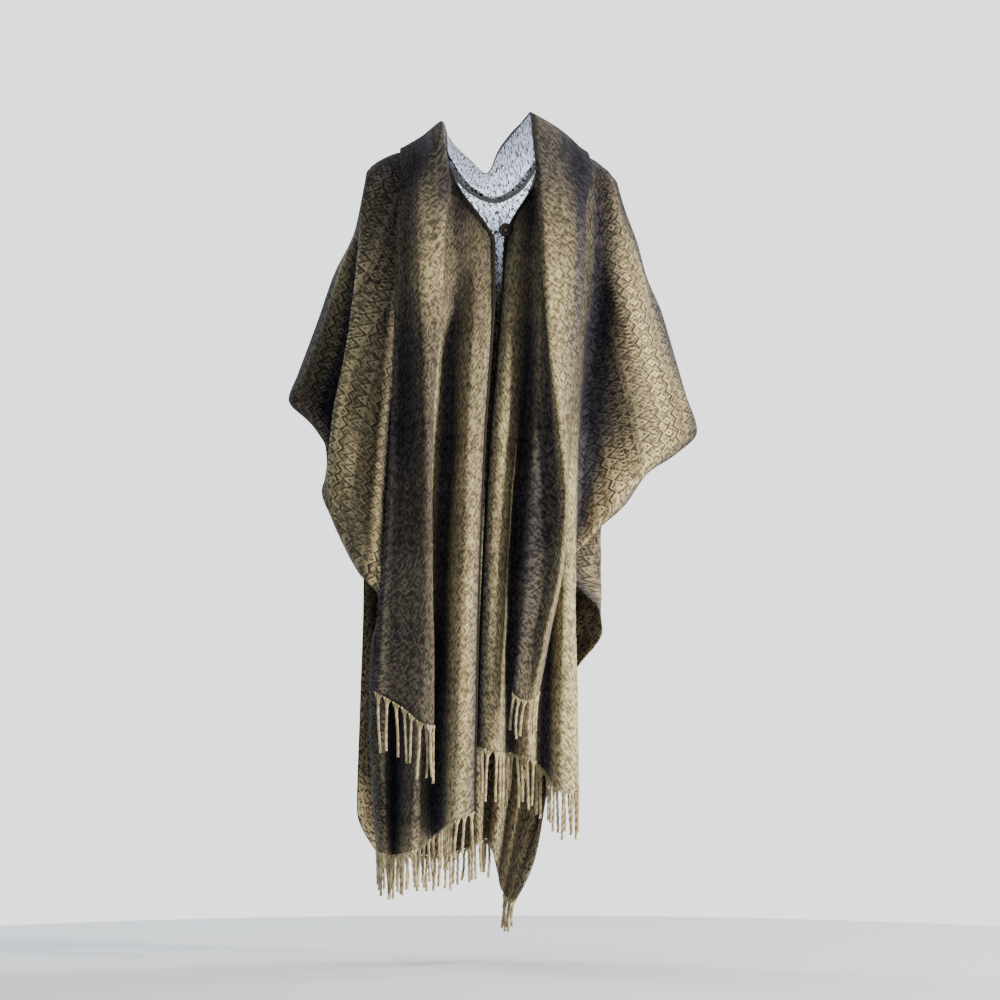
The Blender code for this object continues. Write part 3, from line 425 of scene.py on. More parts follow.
# The nap's two sets of strokes, each with its lean, its share and its seed, how fine they are, and
# how much longer than wide.
STROKES = ((-0.60, 0.38, 7.0), (0.55, 0.62, 0.0))
STROKE_SCALE = 84.0
STROKE_LENGTH = 3.4
# The reverse is warm below the first height and, with painted light at the neck, cool and pale above the
# second.
REVERSE_HEIGHTS = (-0.27, -0.17)
# Tints of the darker bands across the cloth, and of the dark patches of yarn and horn.
BAND_TINT = (0.42, 0.38, 0.37)
YARN_TINT = (0.55, 0.50, 0.45)
HORN_TINT = (0.16, 0.14, 0.14)

BUTTON_ACROSS = 22.8
BUTTON_DROP = 140.7
BUTTON_BACK = -98.6
# The button's turned section: distance from its axis and height above its back.
BUTTON_PROFILE = (
    (0, 0), (9.2, 0), (10.6, 0.4), (11.5, 1.4), (11.5, 2.8), (11.2, 3.6), (10.6, 4.1),
    (10.0, 4.2), (9.4, 4.1), (8.9, 3.6), (8.4, 3.1), (7.2, 2.9), (6.8, 2.7), (6.5, 2.7),
    (6.1, 2.9), (5.0, 3.0), (3.0, 3.0), (2.5, 2.9), (2.1, 2.5), (1.6, 2.2), (0, 2.2),
)
BUTTON_STEPS = 64
BUTTON_SHARP_ANGLE = 28
# Its finish by distance from its axis, in metres: where the dark rim starts and is full, the middle
# and half width of the dark ring, and where the pale centre starts and is full.
HORN_RIM = (0.0082, 0.0090)
HORN_RING = (0.0047, 0.0008)
HORN_CENTRE = (0.0024, 0.0015)
LOOP_STEPS = 90
LOOP_ROUTE = (
    (6.9, -101.2, 146.0), (11.5, -97.4, 143.2), (17.0, -96.2, 138.6), (22.8, -96.1, 136.6),
    (25.8, -96.1, 137.7), (26.9, -96.1, 140.7), (25.8, -96.1, 143.7), (22.8, -96.1, 144.8),
    (16.0, -96.4, 149.4), (11.0, -98.4, 152.2), (7.2, -101.4, 153.6),
)
SHANK_DEPTHS = (-92.8, -98.2)
SHANK_RADIUS = 1.9
SHANK_WINDS = 7
SHANK_STEPS = 16
# Thread and cord of the trims, in metres: half thickness or ply, and turns of the plies in a metre.
STITCH_RADIUS = 0.00034
SHANK_PLY = 0.00045
SHANK_TURNS = 300.0
LOOP_TURNS = 260.0
THREADS = {
    "tape": (0.10, 0.09, 0.085), "waxed": (0.35, 0.31, 0.25), "elastic": (0.05, 0.048, 0.052),
}

# The tape's section: its sides, how square it is, and its thickness in shares of its width. Then
# how far its stitches lie off its middle and out from it, in shares of half its width.
TAPE_SIDES = 16
TAPE_SQUARENESS = 0.55
TAPE_THICKNESS = 0.78
STITCH_INSET = 0.55
STITCH_LIFT = 0.80
# Points along a front edge, across a front's neckline and across the back's.
EDGE_POINTS = 151
FRONT_NECK_POINTS = 25
BACK_NECK_POINTS = 41

# The surround as it lights the cloth and as the camera sees it: colour and strength.
SURROUND_LIGHT = ((0.86, 0.92, 1.0), 0.12)
SURROUND_SEEN = ((0.93, 0.94, 0.96), 2.2)
FLOOR_TONE = (0.86, 0.86, 0.86)
# The middle of the photograph's frame, in metres.
VIEW_CENTRE = (0.0132, 0.0, -0.5825)
Lamp = namedtuple("Lamp", "name watts size place target tint")
LAMPS = (
    Lamp("key", 400, 0.7, (3.6, -2.1, -0.2), (0, 0, -0.85), (1.0, 0.945, 0.81)),
    Lamp("fill", 11, 2.5, (-1.6, -3.8, 0.2), (0, 0, -0.6), (0.62, 0.76, 1.0)),
    Lamp("rim_left", 55, 0.7, (-1.9, 1.6, 0.5), (-0.2, 0, -0.3), (0.70, 0.84, 1.0)),
    Lamp("rim_right", 55, 0.7, (2.0, 1.6, 0.5), (0.2, 0, -0.3), (0.74, 0.87, 1.0)),
    Lamp("neck", 0.75, 0.12, (0.005, -0.045, -0.09), (0.005, 0.09, 0.03), (0.86, 0.92, 1.0)),
    Lamp("floor_wash", 90, 3.0, (0, 0.4, 2.6), (0, 1.2, -1.3), (1, 1, 1)),
)


# Blender settings that a user would change

def number(name, description, default, **more):
    return bpy.props.FloatProperty(name=name, description=description, default=default, **more)


def colour(name, description, default):
    return bpy.props.FloatVectorProperty(
        name=name, description=description, default=default, subtype="COLOR", size=3, min=0, max=1)


class PONCHO_PG_cloth(bpy.types.PropertyGroup):
    """Sizes of the blanket cloth"""

    thickness: number("Thickness", "Thickness of a panel", 0.002, unit="LENGTH")
    scarf_thickness: number("Scarf thickness", "Thickness of the scarf", 0.0022, unit="LENGTH")
    cell: number("Cell", "Longest side of a mesh cell", 0.0075, unit="LENGTH")
    ripple: number("Ripple", "Height of the cloth's soft unevenness", 0.0022, unit="LENGTH")
    scarf_rest: number("Scarf rest", "Gap from a panel to the scarf on it", 0.0074, unit="LENGTH")
    edge_margin: number("Edge margin", "How far creases stay off a sewn edge", 0.022, unit="LENGTH")


class PONCHO_PG_colours(bpy.types.PropertyGroup):
    """Colours of the yarns and trims"""

    ground: colour("Ground", "Beige ground yarn", (0.270, 0.216, 0.124))
    cream: colour("Cream", "Light yarn of the motifs", (0.82, 0.68, 0.375))
    dark: colour("Dark", "Dark yarn of the motifs", (0.034, 0.028, 0.030))
    # Painted shade: the tint that darkens the cloth in its deep folds.
    shade: colour("Shade", "Tint of the cloth in its deep folds", (0.105, 0.125, 0.330))
    # Painted shadow: the tint that darkens the patches of cloth that lie in shade.
    painted_shadow: colour("Dusk", "Tint of the cloth where it is dyed darker", (0.130, 0.140, 0.240))
    # Painted light: the reverse's ground as lit pale and cool at the neck; below it the reverse keeps its
    # warmer ground.
    reverse: colour("Reverse", "Ground of the reverse at the neck", (0.74, 0.78, 0.85))
    fringe: colour("Fringe", "Yarn of the fringe", (0.72, 0.61, 0.37))
    tape: colour("Tape", "Binding tape", (0.022, 0.020, 0.017))
    button: colour("Button", "Body of the button", (0.034, 0.024, 0.020))


class PONCHO_PG_trims(bpy.types.PropertyGroup):
    """Sizes of the fringe, the tape and the button"""

    yarn: number("Yarn", "Thickness of one ply of a tassel", 0.0026, unit="LENGTH")
    twist: number("Twist", "Turns of a tassel in a metre", 26.0, min=0)
    binding_gap: number("Tape gap", "Gap from the cloth's edge to the tape, below 0 where it wraps "
                        "the edge", -0.0014, unit="LENGTH")
    binding_radius: number("Tape half width", "Half the tape's width", 0.0031, unit="LENGTH")
    stitch: number("Stitch", "Distance between two stitches", 0.0042, unit="LENGTH")
    loop_radius: number("Loop radius", "Radius of one strand of the loop", 0.0011, unit="LENGTH")


class PONCHO_PG_stage(bpy.types.PropertyGroup):
    """The studio"""

    floor: number("Floor", "Height of the floor", -1.345, unit="LENGTH")
    floor_radius: number("Floor radius", "Radius of the round floor", 1.35, unit="LENGTH")
    distance: number("Camera distance", "From the camera to the cloth", 12.0, unit="LENGTH")
    view_width: number("View width", "Width of the view at the cloth", 1.65, unit="LENGTH")


def settings():
    return bpy.context.scene.poncho


# Cloth form

def end_slope(near_width, far_width, near_rise, far_rise):
    """The slope at an end of the curve, held to the way that the curve leaves it."""
    slope = (2 * near_width + far_width) * near_rise - near_width * far_rise
    slope = slope / (near_width + far_width)
    slope = np.where(slope * near_rise <= 0, 0.0, slope)
    return np.where(np.abs(slope) > 3 * np.abs(near_rise), 3 * near_rise, slope)


def smooth(knots, values, at):
    """A monotone cubic through the values, so cloth never swings past its own ridge or valley."""
    knots = np.asarray(knots, float)
    values = np.asarray(values, float)
    widths = np.diff(knots)[:, None]
    rises = np.diff(values, axis=0) / widths
    slopes = np.zeros_like(values)
    before, after = rises[:-1], rises[1:]
    weight_a = 2 * widths[1:] + widths[:-1]
    weight_b = widths[1:] + 2 * widths[:-1]
    with np.errstate(divide="ignore", invalid="ignore"):
        mean = (weight_a + weight_b) / (weight_a / before + weight_b / after)
    slopes[1:-1] = np.where(before * after > 0, mean, 0.0)
    slopes[0] = end_slope(widths[0], widths[1], rises[0], rises[1])
    slopes[-1] = end_slope(widths[-1], widths[-2], rises[-1], rises[-2])
    at = np.clip(np.asarray(at, float), knots[0], knots[-1])
    span = np.clip(np.searchsorted(knots, at, side="right") - 1, 0, len(knots) - 2)
    width = widths[span]
    share = (at[:, None] - knots[span][:, None]) / width
    back = 1 - share
    return (
        values[span] * (1 + 2 * share) * back**2
        + slopes[span] * width * share * back**2
        + values[span + 1] * share**2 * (3 - 2 * share)
        - slopes[span + 1] * width * share**2 * back
    )


def over_the_shoulder(stations, side, half_gap):
    """A fold's stations with the round of the shoulder, where it starts on the crest."""
    rows = [list(map(float, row)) for row in stations]
    for row in rows:
        if row[2] == 0:
            row[2] = side * half_gap
    start, turn_end = rows[0], rows[1]
    if abs(stations[0][2]) > 0 or abs(turn_end[2]) < STRAIGHT_START:
        return rows
    for angle in reversed(CREST_ANGLES):
        turn = math.radians(angle)
        rows.insert(1, [
            turn_end[0] * angle / 90,
            start[1] + (turn_end[1] - start[1]) * math.sin(turn),
            start[2] + (turn_end[2] - start[2]) * math.sin(turn),
            start[3] + (turn_end[3] - start[3]) * (1 - math.cos(turn)),
        ])
    return rows


def make_sheet(name):
    """A function of two shares, across and down, that gives points of the panel in millimetres."""
    side = CREST_SIDE.get(name, 0)
    half_gap = (SEAM + settings().cloth.thickness / MM) / 2
    tables = [
        np.array(over_the_shoulder(fold.stations, side, half_gap) if side else fold.stations, float)
        for fold in PANELS[name]
    ]

    def sheet(across, down):
        lines = np.stack([smooth(table[:, 0], table[:, 1:], down) for table in tables])
        flat = lines.reshape(len(tables), -1)
        points = smooth(np.arange(len(tables)), flat, np.asarray(across) * (len(tables) - 1))
        points = points.reshape(len(across), len(down), 3)
        points[..., 2] *= -1
        return points

    return sheet


def unit(vectors):
    return vectors / np.linalg.norm(vectors, axis=-1, keepdims=True)


def steps_along(points):
    """Running length along the first axis of a grid or a line of points."""
    lengths = np.linalg.norm(np.diff(points, axis=0), axis=-1)
    return np.concatenate([np.zeros_like(lengths[:1]), np.cumsum(lengths, axis=0)])


def steps_down(grid):
    """Running length from the top edge along every column of a grid of points."""
    return steps_along(grid.transpose(1, 0, 2)).T


def even_shares(sheet, spans, cell):
    """Shares across and down that keep every cell of the panel near the wanted size."""
    coarse = sheet(np.linspace(0, 1, 12 * spans + 1), np.linspace(0, 1, 97))
    across = steps_along(coarse).mean(axis=1)
    down = steps_down(coarse).mean(axis=0)
    columns = max(spans * 3, int(np.ceil(across[-1] / cell)))
    rows = int(np.ceil(down[-1] / cell))
    return (
        np.interp(np.linspace(0, across[-1], columns + 1), across, np.linspace(0, 1, len(across))),
        np.interp(np.linspace(0, down[-1], rows + 1), down, np.linspace(0, 1, len(down))),
    )


def grid_faces(columns, rows):
    return [
        (i * rows + j, (i + 1) * rows + j, (i + 1) * rows + j + 1, i * rows + j + 1)
        for i in range(columns - 1) for j in range(rows - 1)
    ]


def grid_normals(grid, side):
    """Unit normals of a grid of points. side turns them to the outer face of the cloth."""
    return side * unit(np.cross(np.gradient(grid, axis=0), np.gradient(grid, axis=1)))


def soft_step(values):
    values = np.clip(values, 0, 1)
    return values * values * (3 - 2 * values)


def ramp(values, start, full):
    """0 at the start and 1 where it is full, which may be the lower of the two values."""
    return soft_step((values - start) / (full - start))


def crease_heights(name, across, down, grid):
    """Heights of the panel's creases: smooth along each one, and round across it."""
    wide = steps_along(grid).mean(axis=1)[-1]
    tall = steps_down(grid).mean(axis=0)[-1]
    u, v = np.meshgrid(across * wide, down * tall, indexing="ij")
    heights = np.zeros(grid.shape[:2])
    for k, crease in enumerate(CREASES[name]):
        start = np.array((crease.across_a * wide, crease.down_a * tall))
        way = np.array((crease.across_b * wide, crease.down_b * tall)) - start
        length = np.linalg.norm(way)
        way /= length
        along = ((u - start[0]) * way[0] + (v - start[1]) * way[1]) / length
        bow = CREASE_BOW * length * np.sin(math.pi * np.clip(along, 0, 1)) * (-1) ** k
        off = (u - start[0]) * way[1] - (v - start[1]) * way[0] + bow
        fade = soft_step(along / CREASE_FADE) * soft_step((1 - along) / CREASE_FADE)
        heights += crease.height * fade * np.exp(-((off / crease.width * CREASE_STEEPNESS) ** 2))
    return heights


def unevenness(name, grid, size):
    """Soft irregular height over the cloth: long slow swells, and finer puckers on them."""
    seed = Vector((17.3 * len(name), 5.1 * ord(name[-1]), 2.0))
    heights = np.zeros(grid.shape[:2])
    for place in np.ndindex(heights.shape):
        swell = noise.noise(Vector(grid[place] / SWELLS) + seed)
        pucker = noise.noise(Vector(grid[place] / PUCKERS) - seed)
        heights[place] = size * (swell + PUCKER_SHARE * pucker)
    return heights


def edge_fade(grid, margin):
    """0 at the top and the two side edges of a panel, and 1 away from them."""
    from_first = steps_along(grid)
    fade = soft_step(from_first / margin) * soft_step((from_first[-1] - from_first) / margin)
    return fade * soft_step(steps_down(grid) / margin)


def lifted_clear(grid, panel, side, rest, sewn_rows=0):
    """The scarf's points, moved out of the panel that they lie on, below any rows sewn in place."""
    columns, rows = panel.shape[:2]
    tree = BVHTree.FromPolygons(panel.reshape(-1, 3).tolist(), grid_faces(columns, rows))
    moved = grid.copy()
    free = moved[:, sewn_rows:]
    for place in np.ndindex(free.shape[:2]):
        point = Vector(free[place])
        seat, normal, _, distance = tree.find_nearest(point)
        outward = normal * side
        sunk = distance < SCARF_REACH and (point - seat).dot(outward) < 0
        if sunk or distance < rest:
            free[place] = seat + outward * rest
    return moved


# Where the weave lies on a panel

def sleeve_weave(grid, sleeve, columns):
    """Flat places in millimetres of a wing's points, with rows that run along the sleeve's top."""
    shoulder, tip = np.array(sleeve.shoulder), np.array(sleeve.tip)
    along = unit(tip - shoulder)
    inward = np.array((along[1], -along[0])) * (-1 if shoulder[0] > 0 else 1)
    part = grid[columns]
    edge = part[-1] if columns.stop is None else part[0]
    from_first = steps_along(part[..., :2])
    off_edge = from_first[-1] - from_first if columns.stop is None else from_first
    across = edge[:, 0] - math.copysign(1, shoulder[0]) * off_edge
    fall = steps_down(part[..., 1:])
    drop = -part[:, :1, 2] + fall
    place = np.stack([across - shoulder[0], drop - shoulder[1]], axis=-1)
    return np.stack([place @ along, place @ inward], axis=-1)


def body_weave(grid, columns):
    """Flat places in millimetres of a panel's middle, with rows level across it."""
    part = grid[columns]
    across = steps_along(part).mean(axis=1)[:, None] + np.zeros(part.shape[:2])
    start = np.hypot(part[:, :1, 1], part[:, :1, 2])
    down = start + steps_down(part)
    return np.stack([across, down], axis=-1)


def scarf_weave(grid):
    """Flat places in millimetres of the scarf, with rows that run straight across it."""
    across = steps_along(grid).mean(axis=1)[:, None] + np.zeros(grid.shape[:2])
    down = steps_down(grid).mean(axis=0)[None, :] + np.zeros(grid.shape[:2])
    return np.stack([across, down], axis=-1)


def weave_of_faces(name, grid, across):
    """The flat place of every corner of every cell. The wings' weave turns in a deep valley."""
    spans = len(PANELS[name]) - 1
    columns, rows = grid.shape[:2]
    first, last = WING_FOLDS.get(name, (None, None))
    left = 0 if first is None else int(np.searchsorted(across, first / spans))
    right = columns - 1 if last is None else int(np.searchsorted(across, last / spans))
    if name.startswith("scarf"):
        parts = [(0, right, scarf_weave(grid))]
    else:
        parts = [(left, right, body_weave(grid, slice(left, right + 1)))]
    outer = -1 if name == "front_left" else 1
    if left:
        parts.append((0, left, sleeve_weave(grid, SLEEVES[-1], slice(0, left + 1))))
    if right < columns - 1:
        parts.append((right, columns - 1, sleeve_weave(grid, SLEEVES[outer], slice(right, None))))
    corners = np.zeros((columns - 1, rows - 1, 4, 2))
    for start, end, places in parts:
        corners[start:end, :, 0] = places[:-1, :-1]
        corners[start:end, :, 1] = places[1:, :-1]
        corners[start:end, :, 2] = places[1:, 1:]
        corners[start:end, :, 3] = places[:-1, 1:]
    return corners.reshape(-1, 2) * MM


def hollow_shade(grid, side):
    """How much painted shade a panel gets: from 0, full shade, in its deep folds to 1, none, on its
    ridges, against the cloth around.
    """
    normals = grid_normals(grid, side)
    across = steps_along(grid).mean(axis=1)
    reach = max(1, int(HOLLOW_REACH * len(across) / across[-1]))
    kernel = np.hanning(2 * reach + 1)
    kernel /= kernel.sum()
    padded = np.pad(grid, ((reach, reach), (0, 0), (0, 0)), mode="edge")
    around = np.stack([
        np.stack([np.convolve(padded[:, j, c], kernel, "valid") for j in range(grid.shape[1])], 1)
        for c in range(3)
    ], axis=-1)
    steady = unit(normals.mean(axis=0, keepdims=True))
    height = ((grid - around) * steady).sum(axis=-1)
    return soft_step(0.5 + height / HOLLOW_HEIGHT)


def clearness(name, across):
    """How clearly the motifs show, for each column of a panel."""
    if name.startswith("scarf"):
        return np.full(len(across), CLEARNESS["scarf"])
    first, last = WING_FOLDS[name]
    folds = across * (len(PANELS[name]) - 1)
    into_wing = np.zeros(len(across))
    if first is not None:
        into_wing = np.maximum(into_wing, soft_step(first + 0.5 - folds))
    if last is not None:
        into_wing = np.maximum(into_wing, soft_step(folds - last + 0.5))
    return CLEARNESS["middle"] + (CLEARNESS["wing"] - CLEARNESS["middle"]) * into_wing


def painted_shadow(name, grid, across, down):
    """How much painted shadow darkens the wool at each point of a panel, as its patches say."""
    u, v = np.meshgrid(across, down, indexing="ij")
    places = {"x": grid[..., 0], "drop": -grid[..., 2], "across": u, "down": v}
    tone = np.zeros(grid.shape[:2])
    for patch in PAINTED_SHADOWS["every panel"] + PAINTED_SHADOWS.get(name, ()):
        strength = np.full(tone.shape, patch.strength)
        for follows, start, full, least in patch.ramps:
            strength *= least + (1 - least) * ramp(places[follows], start, full)
        tone = np.maximum(tone, strength)
    return tone


def store(mesh, name, values):
    layer = mesh.attributes.new(name, "FLOAT", "POINT")
    layer.data.foreach_set("value", np.asarray(values, np.float32).ravel())


def linked(name, data):
    obj = bpy.data.objects.new(name, data)
    bpy.context.scene.collection.objects.link(obj)
    return obj


def object_of(name, shape, material):
    """An object of the drafted shape in one material. The draft is freed."""
    mesh = bpy.data.meshes.new(name)
    shape.to_mesh(mesh)
    shape.free()
    mesh.materials.append(material)
    return linked(name, mesh)


def cloth_object(name, grid, flat_grid, shares, thickness, materials, pale_rows=0):
    """A panel as a fine closed wall. Its outer face shows the reverse on its first pale rows."""
    columns, rows = grid.shape[:2]
    across, down = shares
    mesh = bpy.data.meshes.new(name)
    mesh.from_pydata((grid.reshape(-1, 3) * MM).tolist(), [], grid_faces(columns, rows))
    uv = mesh.uv_layers.new(name="Weave")
    uv.data.foreach_set("uv", weave_of_faces(name, flat_grid, across).astype(np.float32).ravel())
    from_first = steps_along(grid)
    from_top = steps_down(grid)
    store(mesh, "edge_distance", np.minimum(from_first, from_first[-1] - from_first) * MM)
    store(mesh, "hem_distance", (from_top[:, -1:] - from_top) * MM)
    store(mesh, "shade", hollow_shade(grid, OUTWARD[name]))
    store(mesh, "clear", clearness(name, across)[:, None] + np.zeros((columns, rows)))
    store(mesh, "painted_shadow", painted_shadow(name, grid, across, down))
    for face in mesh.polygons:
        face.material_index = int(face.index % (rows - 1) < pale_rows)
    if OUTWARD[name] < 0:
        mesh.flip_normals()
    mesh.shade_smooth()
    for material in (*materials, materials[0]):
        mesh.materials.append(material)
    obj = linked(name + "_cloth", mesh)
    wall = obj.modifiers.new("wall", "SOLIDIFY")
    wall.thickness = thickness
    wall.offset = 0.0
    wall.material_offset = 1
    return made_plain(obj)


def made_plain(obj):
    """The object with its modifiers made into its mesh."""
    bpy.context.view_layer.update()
    evaluated = obj.evaluated_get(bpy.context.evaluated_depsgraph_get())
    mesh = bpy.data.meshes.new_from_object(evaluated)
    obj.modifiers.clear()
    old = obj.data
    obj.data = mesh
    bpy.data.meshes.remove(old)
    return obj


# Materials

class Nodes:
    """A node tree, with short calls that add a node and link its inputs."""

    def __init__(self, tree):
        self.nodes = tree.nodes
        self.links = tree.links

    def feed(self, socket, value):
        if isinstance(value, bpy.types.NodeSocket):
            self.links.new(value, socket)
        elif socket.type == "RGBA":
            socket.default_value = (*value, 1)
        else:
            socket.default_value = value

    def add(self, kind, inputs=None, **options):
        node = self.nodes.new(kind)
        for option, value in options.items():
            setattr(node, option, value)
        for socket, value in (inputs or {}).items():
            self.feed(node.inputs[socket], value)
        return node

    def out(self, kind, inputs=None, **options):
        """Adds a node and gives its first output."""
        return self.add(kind, inputs, **options).outputs[0]

    def calc(self, operation, *values):
        return self.out("ShaderNodeMath", dict(enumerate(values)), operation=operation)


class Graph(Nodes):
    """A material's nodes, with short calls for what the finishes share."""

    def __init__(self, name, roughness, **shader):
        self.material = bpy.data.materials.new(name)
        self.material.use_nodes = True
        super().__init__(self.material.node_tree)
        self.shader = self.nodes["Principled BSDF"]
        for socket, value in {"Roughness": roughness, **shader}.items():
            self.shader.inputs[socket.replace("_", " ")].default_value = value

    def mix(self, share, first, second, blend="MIX"):
        node = self.add("ShaderNodeMix", {0: share}, data_type="RGBA", blend_type=blend)
        self.feed(node.inputs[6], first)
        self.feed(node.inputs[7], second)
        return node.outputs[2]

    def between(self, value, low, high):
        """0 up to low, 1 from high on and smooth between, or falling where high is the lower."""
        node = self.add("ShaderNodeMapRange", {"Value": value, "From Min": low, "From Max": high},
                        interpolation_type="SMOOTHSTEP")
        return node.outputs["Result"]

    def attribute(self, name):
        return self.add("ShaderNodeAttribute", attribute_name=name).outputs["Fac"]

    def places(self):
        return self.add("ShaderNodeTexCoord").outputs["Object"]

    def weave_places(self):
        return self.add("ShaderNodeUVMap", uv_map="Weave").outputs["UV"]

    def split(self, vector):
        return self.add("ShaderNodeSeparateXYZ", {0: vector}).outputs

    def join(self, x, y, z=0.0):
        return self.out("ShaderNodeCombineXYZ", {0: x, 1: y, 2: z})

    def noise(self, vector, scale, detail=2.0, roughness=0.5, distortion=0.0):
        node = self.add("ShaderNodeTexNoise", {
            "Vector": vector, "Scale": scale, "Detail": detail, "Roughness": roughness,
            "Distortion": distortion})
        return node.outputs["Fac"]

    def speckle(self, vector):
        node = self.add("ShaderNodeTexWhiteNoise", {"Vector": vector}, noise_dimensions="2D")
        return node.outputs["Value"]

    def bump(self, height, strength, distance):
        normal = self.out("ShaderNodeBump", {
            "Strength": strength, "Distance": distance, "Height": height})
        self.feed(self.shader.inputs["Normal"], normal)

    def base(self, value):
        self.feed(self.shader.inputs["Base Color"], value)
        return self.material


def motif(graph, kind, u, y):
    """Shares of cream and of dark yarn for one band. u counts motifs and y runs 0 to 1 down it."""
    calc = graph.calc
    across = calc("FRACT", u)
    off_middle = calc("ABSOLUTE", calc("SUBTRACT", across, 0.5))
    peak = calc("MULTIPLY", off_middle, 2.0)
    off_centre = calc("ABSOLUTE", calc("SUBTRACT", y, 0.5))
    if kind == "zigzag":
        line = calc("SUBTRACT", y, calc("MULTIPLY_ADD", peak, 0.60, 0.20))
        return calc("COMPARE", line, -0.20, 0.07), calc("COMPARE", line, 0.02, 0.13)
    if kind == "teeth":
        line = calc("SUBTRACT", y, calc("MULTIPLY_ADD", peak, 0.90, 0.04))
        off_eye = calc("ABSOLUTE", calc("SUBTRACT", y, 0.62))
        eye = calc("LESS_THAN", calc("MULTIPLY_ADD", off_middle, 1.2, off_eye), 0.13)
        inside = calc("GREATER_THAN", line, 0.10)
        cream = calc("SUBTRACT", calc("MULTIPLY", inside, 0.85), eye)
        return calc("MAXIMUM", cream, 0.0), calc("MAXIMUM", eye, calc("COMPARE", line, -0.02, 0.10))
    if kind == "eyes":
        ring = calc("MULTIPLY_ADD", off_middle, 1.5, off_centre)
        dark = calc("MAXIMUM", calc("LESS_THAN", ring, 0.12), calc("COMPARE", ring, 0.62, 0.10))
        return calc("COMPARE", ring, 0.32, 0.16), dark
    if kind == "diamonds":
        ring = calc("MULTIPLY_ADD", off_middle, 1.9, off_centre)
        dark = calc("MAXIMUM", calc("COMPARE", ring, 0.42, 0.09), calc("LESS_THAN", ring, 0.10))
        dark = calc("MAXIMUM", dark, calc("GREATER_THAN", ring, 0.92))
        return calc("COMPARE", ring, 0.26, 0.06), dark
    if kind == "ticks":
        fine = calc("FRACT", calc("MULTIPLY", u, 3.0))
        middle = calc("LESS_THAN", off_centre, 0.34)
        dark = calc("MULTIPLY", calc("GREATER_THAN", fine, 0.55), middle)
        return calc("MULTIPLY", calc("LESS_THAN", fine, 0.30), middle), dark
    return 0.0, 0.0


def hatch(graph, flat, lean, seed):
    """Short slanting strokes of brushed yarn, all with the one lean."""
    calc = graph.calc
    x, y, _ = graph.split(flat)
    sine, cosine = math.sin(lean), math.cos(lean)
    along = calc("ADD", calc("MULTIPLY", x, sine), calc("MULTIPLY", y, cosine))
    across = calc("SUBTRACT", calc("MULTIPLY", x, cosine), calc("MULTIPLY", y, sine))
    where = graph.join(calc("MULTIPLY", across, STROKE_LENGTH), along, seed)
    return graph.noise(where, STROKE_SCALE, 2.0, 0.62)


def nap_strokes(graph, flat):
    """The brushed nap: two sets of strokes that lean opposite ways."""
    strokes = 0.0
    for lean, share, seed in STROKES:
        strokes = graph.calc("MULTIPLY_ADD", hatch(graph, flat, lean, seed), share, strokes)
    return strokes


def banded(graph, rows, u, v):
    """Shares of cream and of dark yarn, band after band down the weave. u and v are in metres."""
    calc = graph.calc
    repeat = sum(height for _, height in rows) * MM
    down = calc("MULTIPLY", calc("FRACT", calc("DIVIDE", v, repeat)), repeat / MM)
    count = calc("DIVIDE", u, MOTIF_WIDTH * MM)
    cream, dark, top = 0.0, 0.0, 0.0
    for kind, height in rows:
        if kind != "plain":
            y = calc("DIVIDE", calc("SUBTRACT", down, top), height)
            here = calc("COMPARE", y, 0.5, 0.5)
            shift = 0.5 if int(top) % 2 else 0.0
            light_yarn, dark_yarn = motif(graph, kind, calc("ADD", count, shift), y)
            cream = calc("MULTIPLY_ADD", light_yarn, here, cream)
            dark = calc("MULTIPLY_ADD", dark_yarn, here, dark)
        top += height
    return cream, dark


def motif_strength(graph, flat, strokes, clear):
    """How much of the motifs is left: none at the edges and hems, less in worn and broken yarn."""
    calc = graph.calc
    off_edge = graph.between(graph.attribute("edge_distance"), *PLAIN_EDGE)
    off_hem = graph.between(graph.attribute("hem_distance"), *PLAIN_HEM)
    worn = graph.between(graph.noise(flat, 13.0, 3.0, 0.6), 0.30, 0.66)
    broken = graph.between(strokes, 0.38, 0.54)
    strength = calc("MULTIPLY", calc("MULTIPLY", off_edge, off_hem), clear)
    strength = calc("MULTIPLY", strength, calc("MULTIPLY_ADD", worn, 0.45, 0.55))
    return calc("MULTIPLY", strength, calc("MULTIPLY_ADD", broken, 0.40, 0.60))


def face_tone(graph, tints, cream, dark, grain, nap):
    """The outer face: a ground speckled by grain and nap, with cream and dark motifs on it."""
    calc = graph.calc
    mottle = calc("MULTIPLY_ADD", grain, 0.28, calc("MULTIPLY", nap, 0.72))
    ground = graph.mix(mottle, tints.dark, tints.cream)
    ground = graph.mix(0.26, ground, tints.ground)
    tone = graph.mix(calc("MULTIPLY", cream, 0.92), ground, tints.cream)
    return graph.mix(calc("MULTIPLY", dark, 0.95), tone, tints.dark)


def reverse_tone(graph, tints, cream, grain, nap):
    """The reverse: pale with dark specks, warmer below the neck, and cool and paler at the neck by
    painted light.
    """
    calc = graph.calc
    # Painted light: towards the neck the ground turns to the cool pale reverse tint.
    high = graph.between(graph.split(graph.places())[2], *REVERSE_HEIGHTS)
    pale = graph.mix(high, graph.mix(0.35, tints.ground, tints.cream), tints.reverse)
    specks = calc("MULTIPLY_ADD", grain, 0.45, calc("MULTIPLY", nap, 0.55))
    ground = graph.mix(graph.between(specks, 0.27, 0.56), tints.dark, pale)
    return graph.mix(calc("MULTIPLY", cream, 0.30), ground, tints.dark)


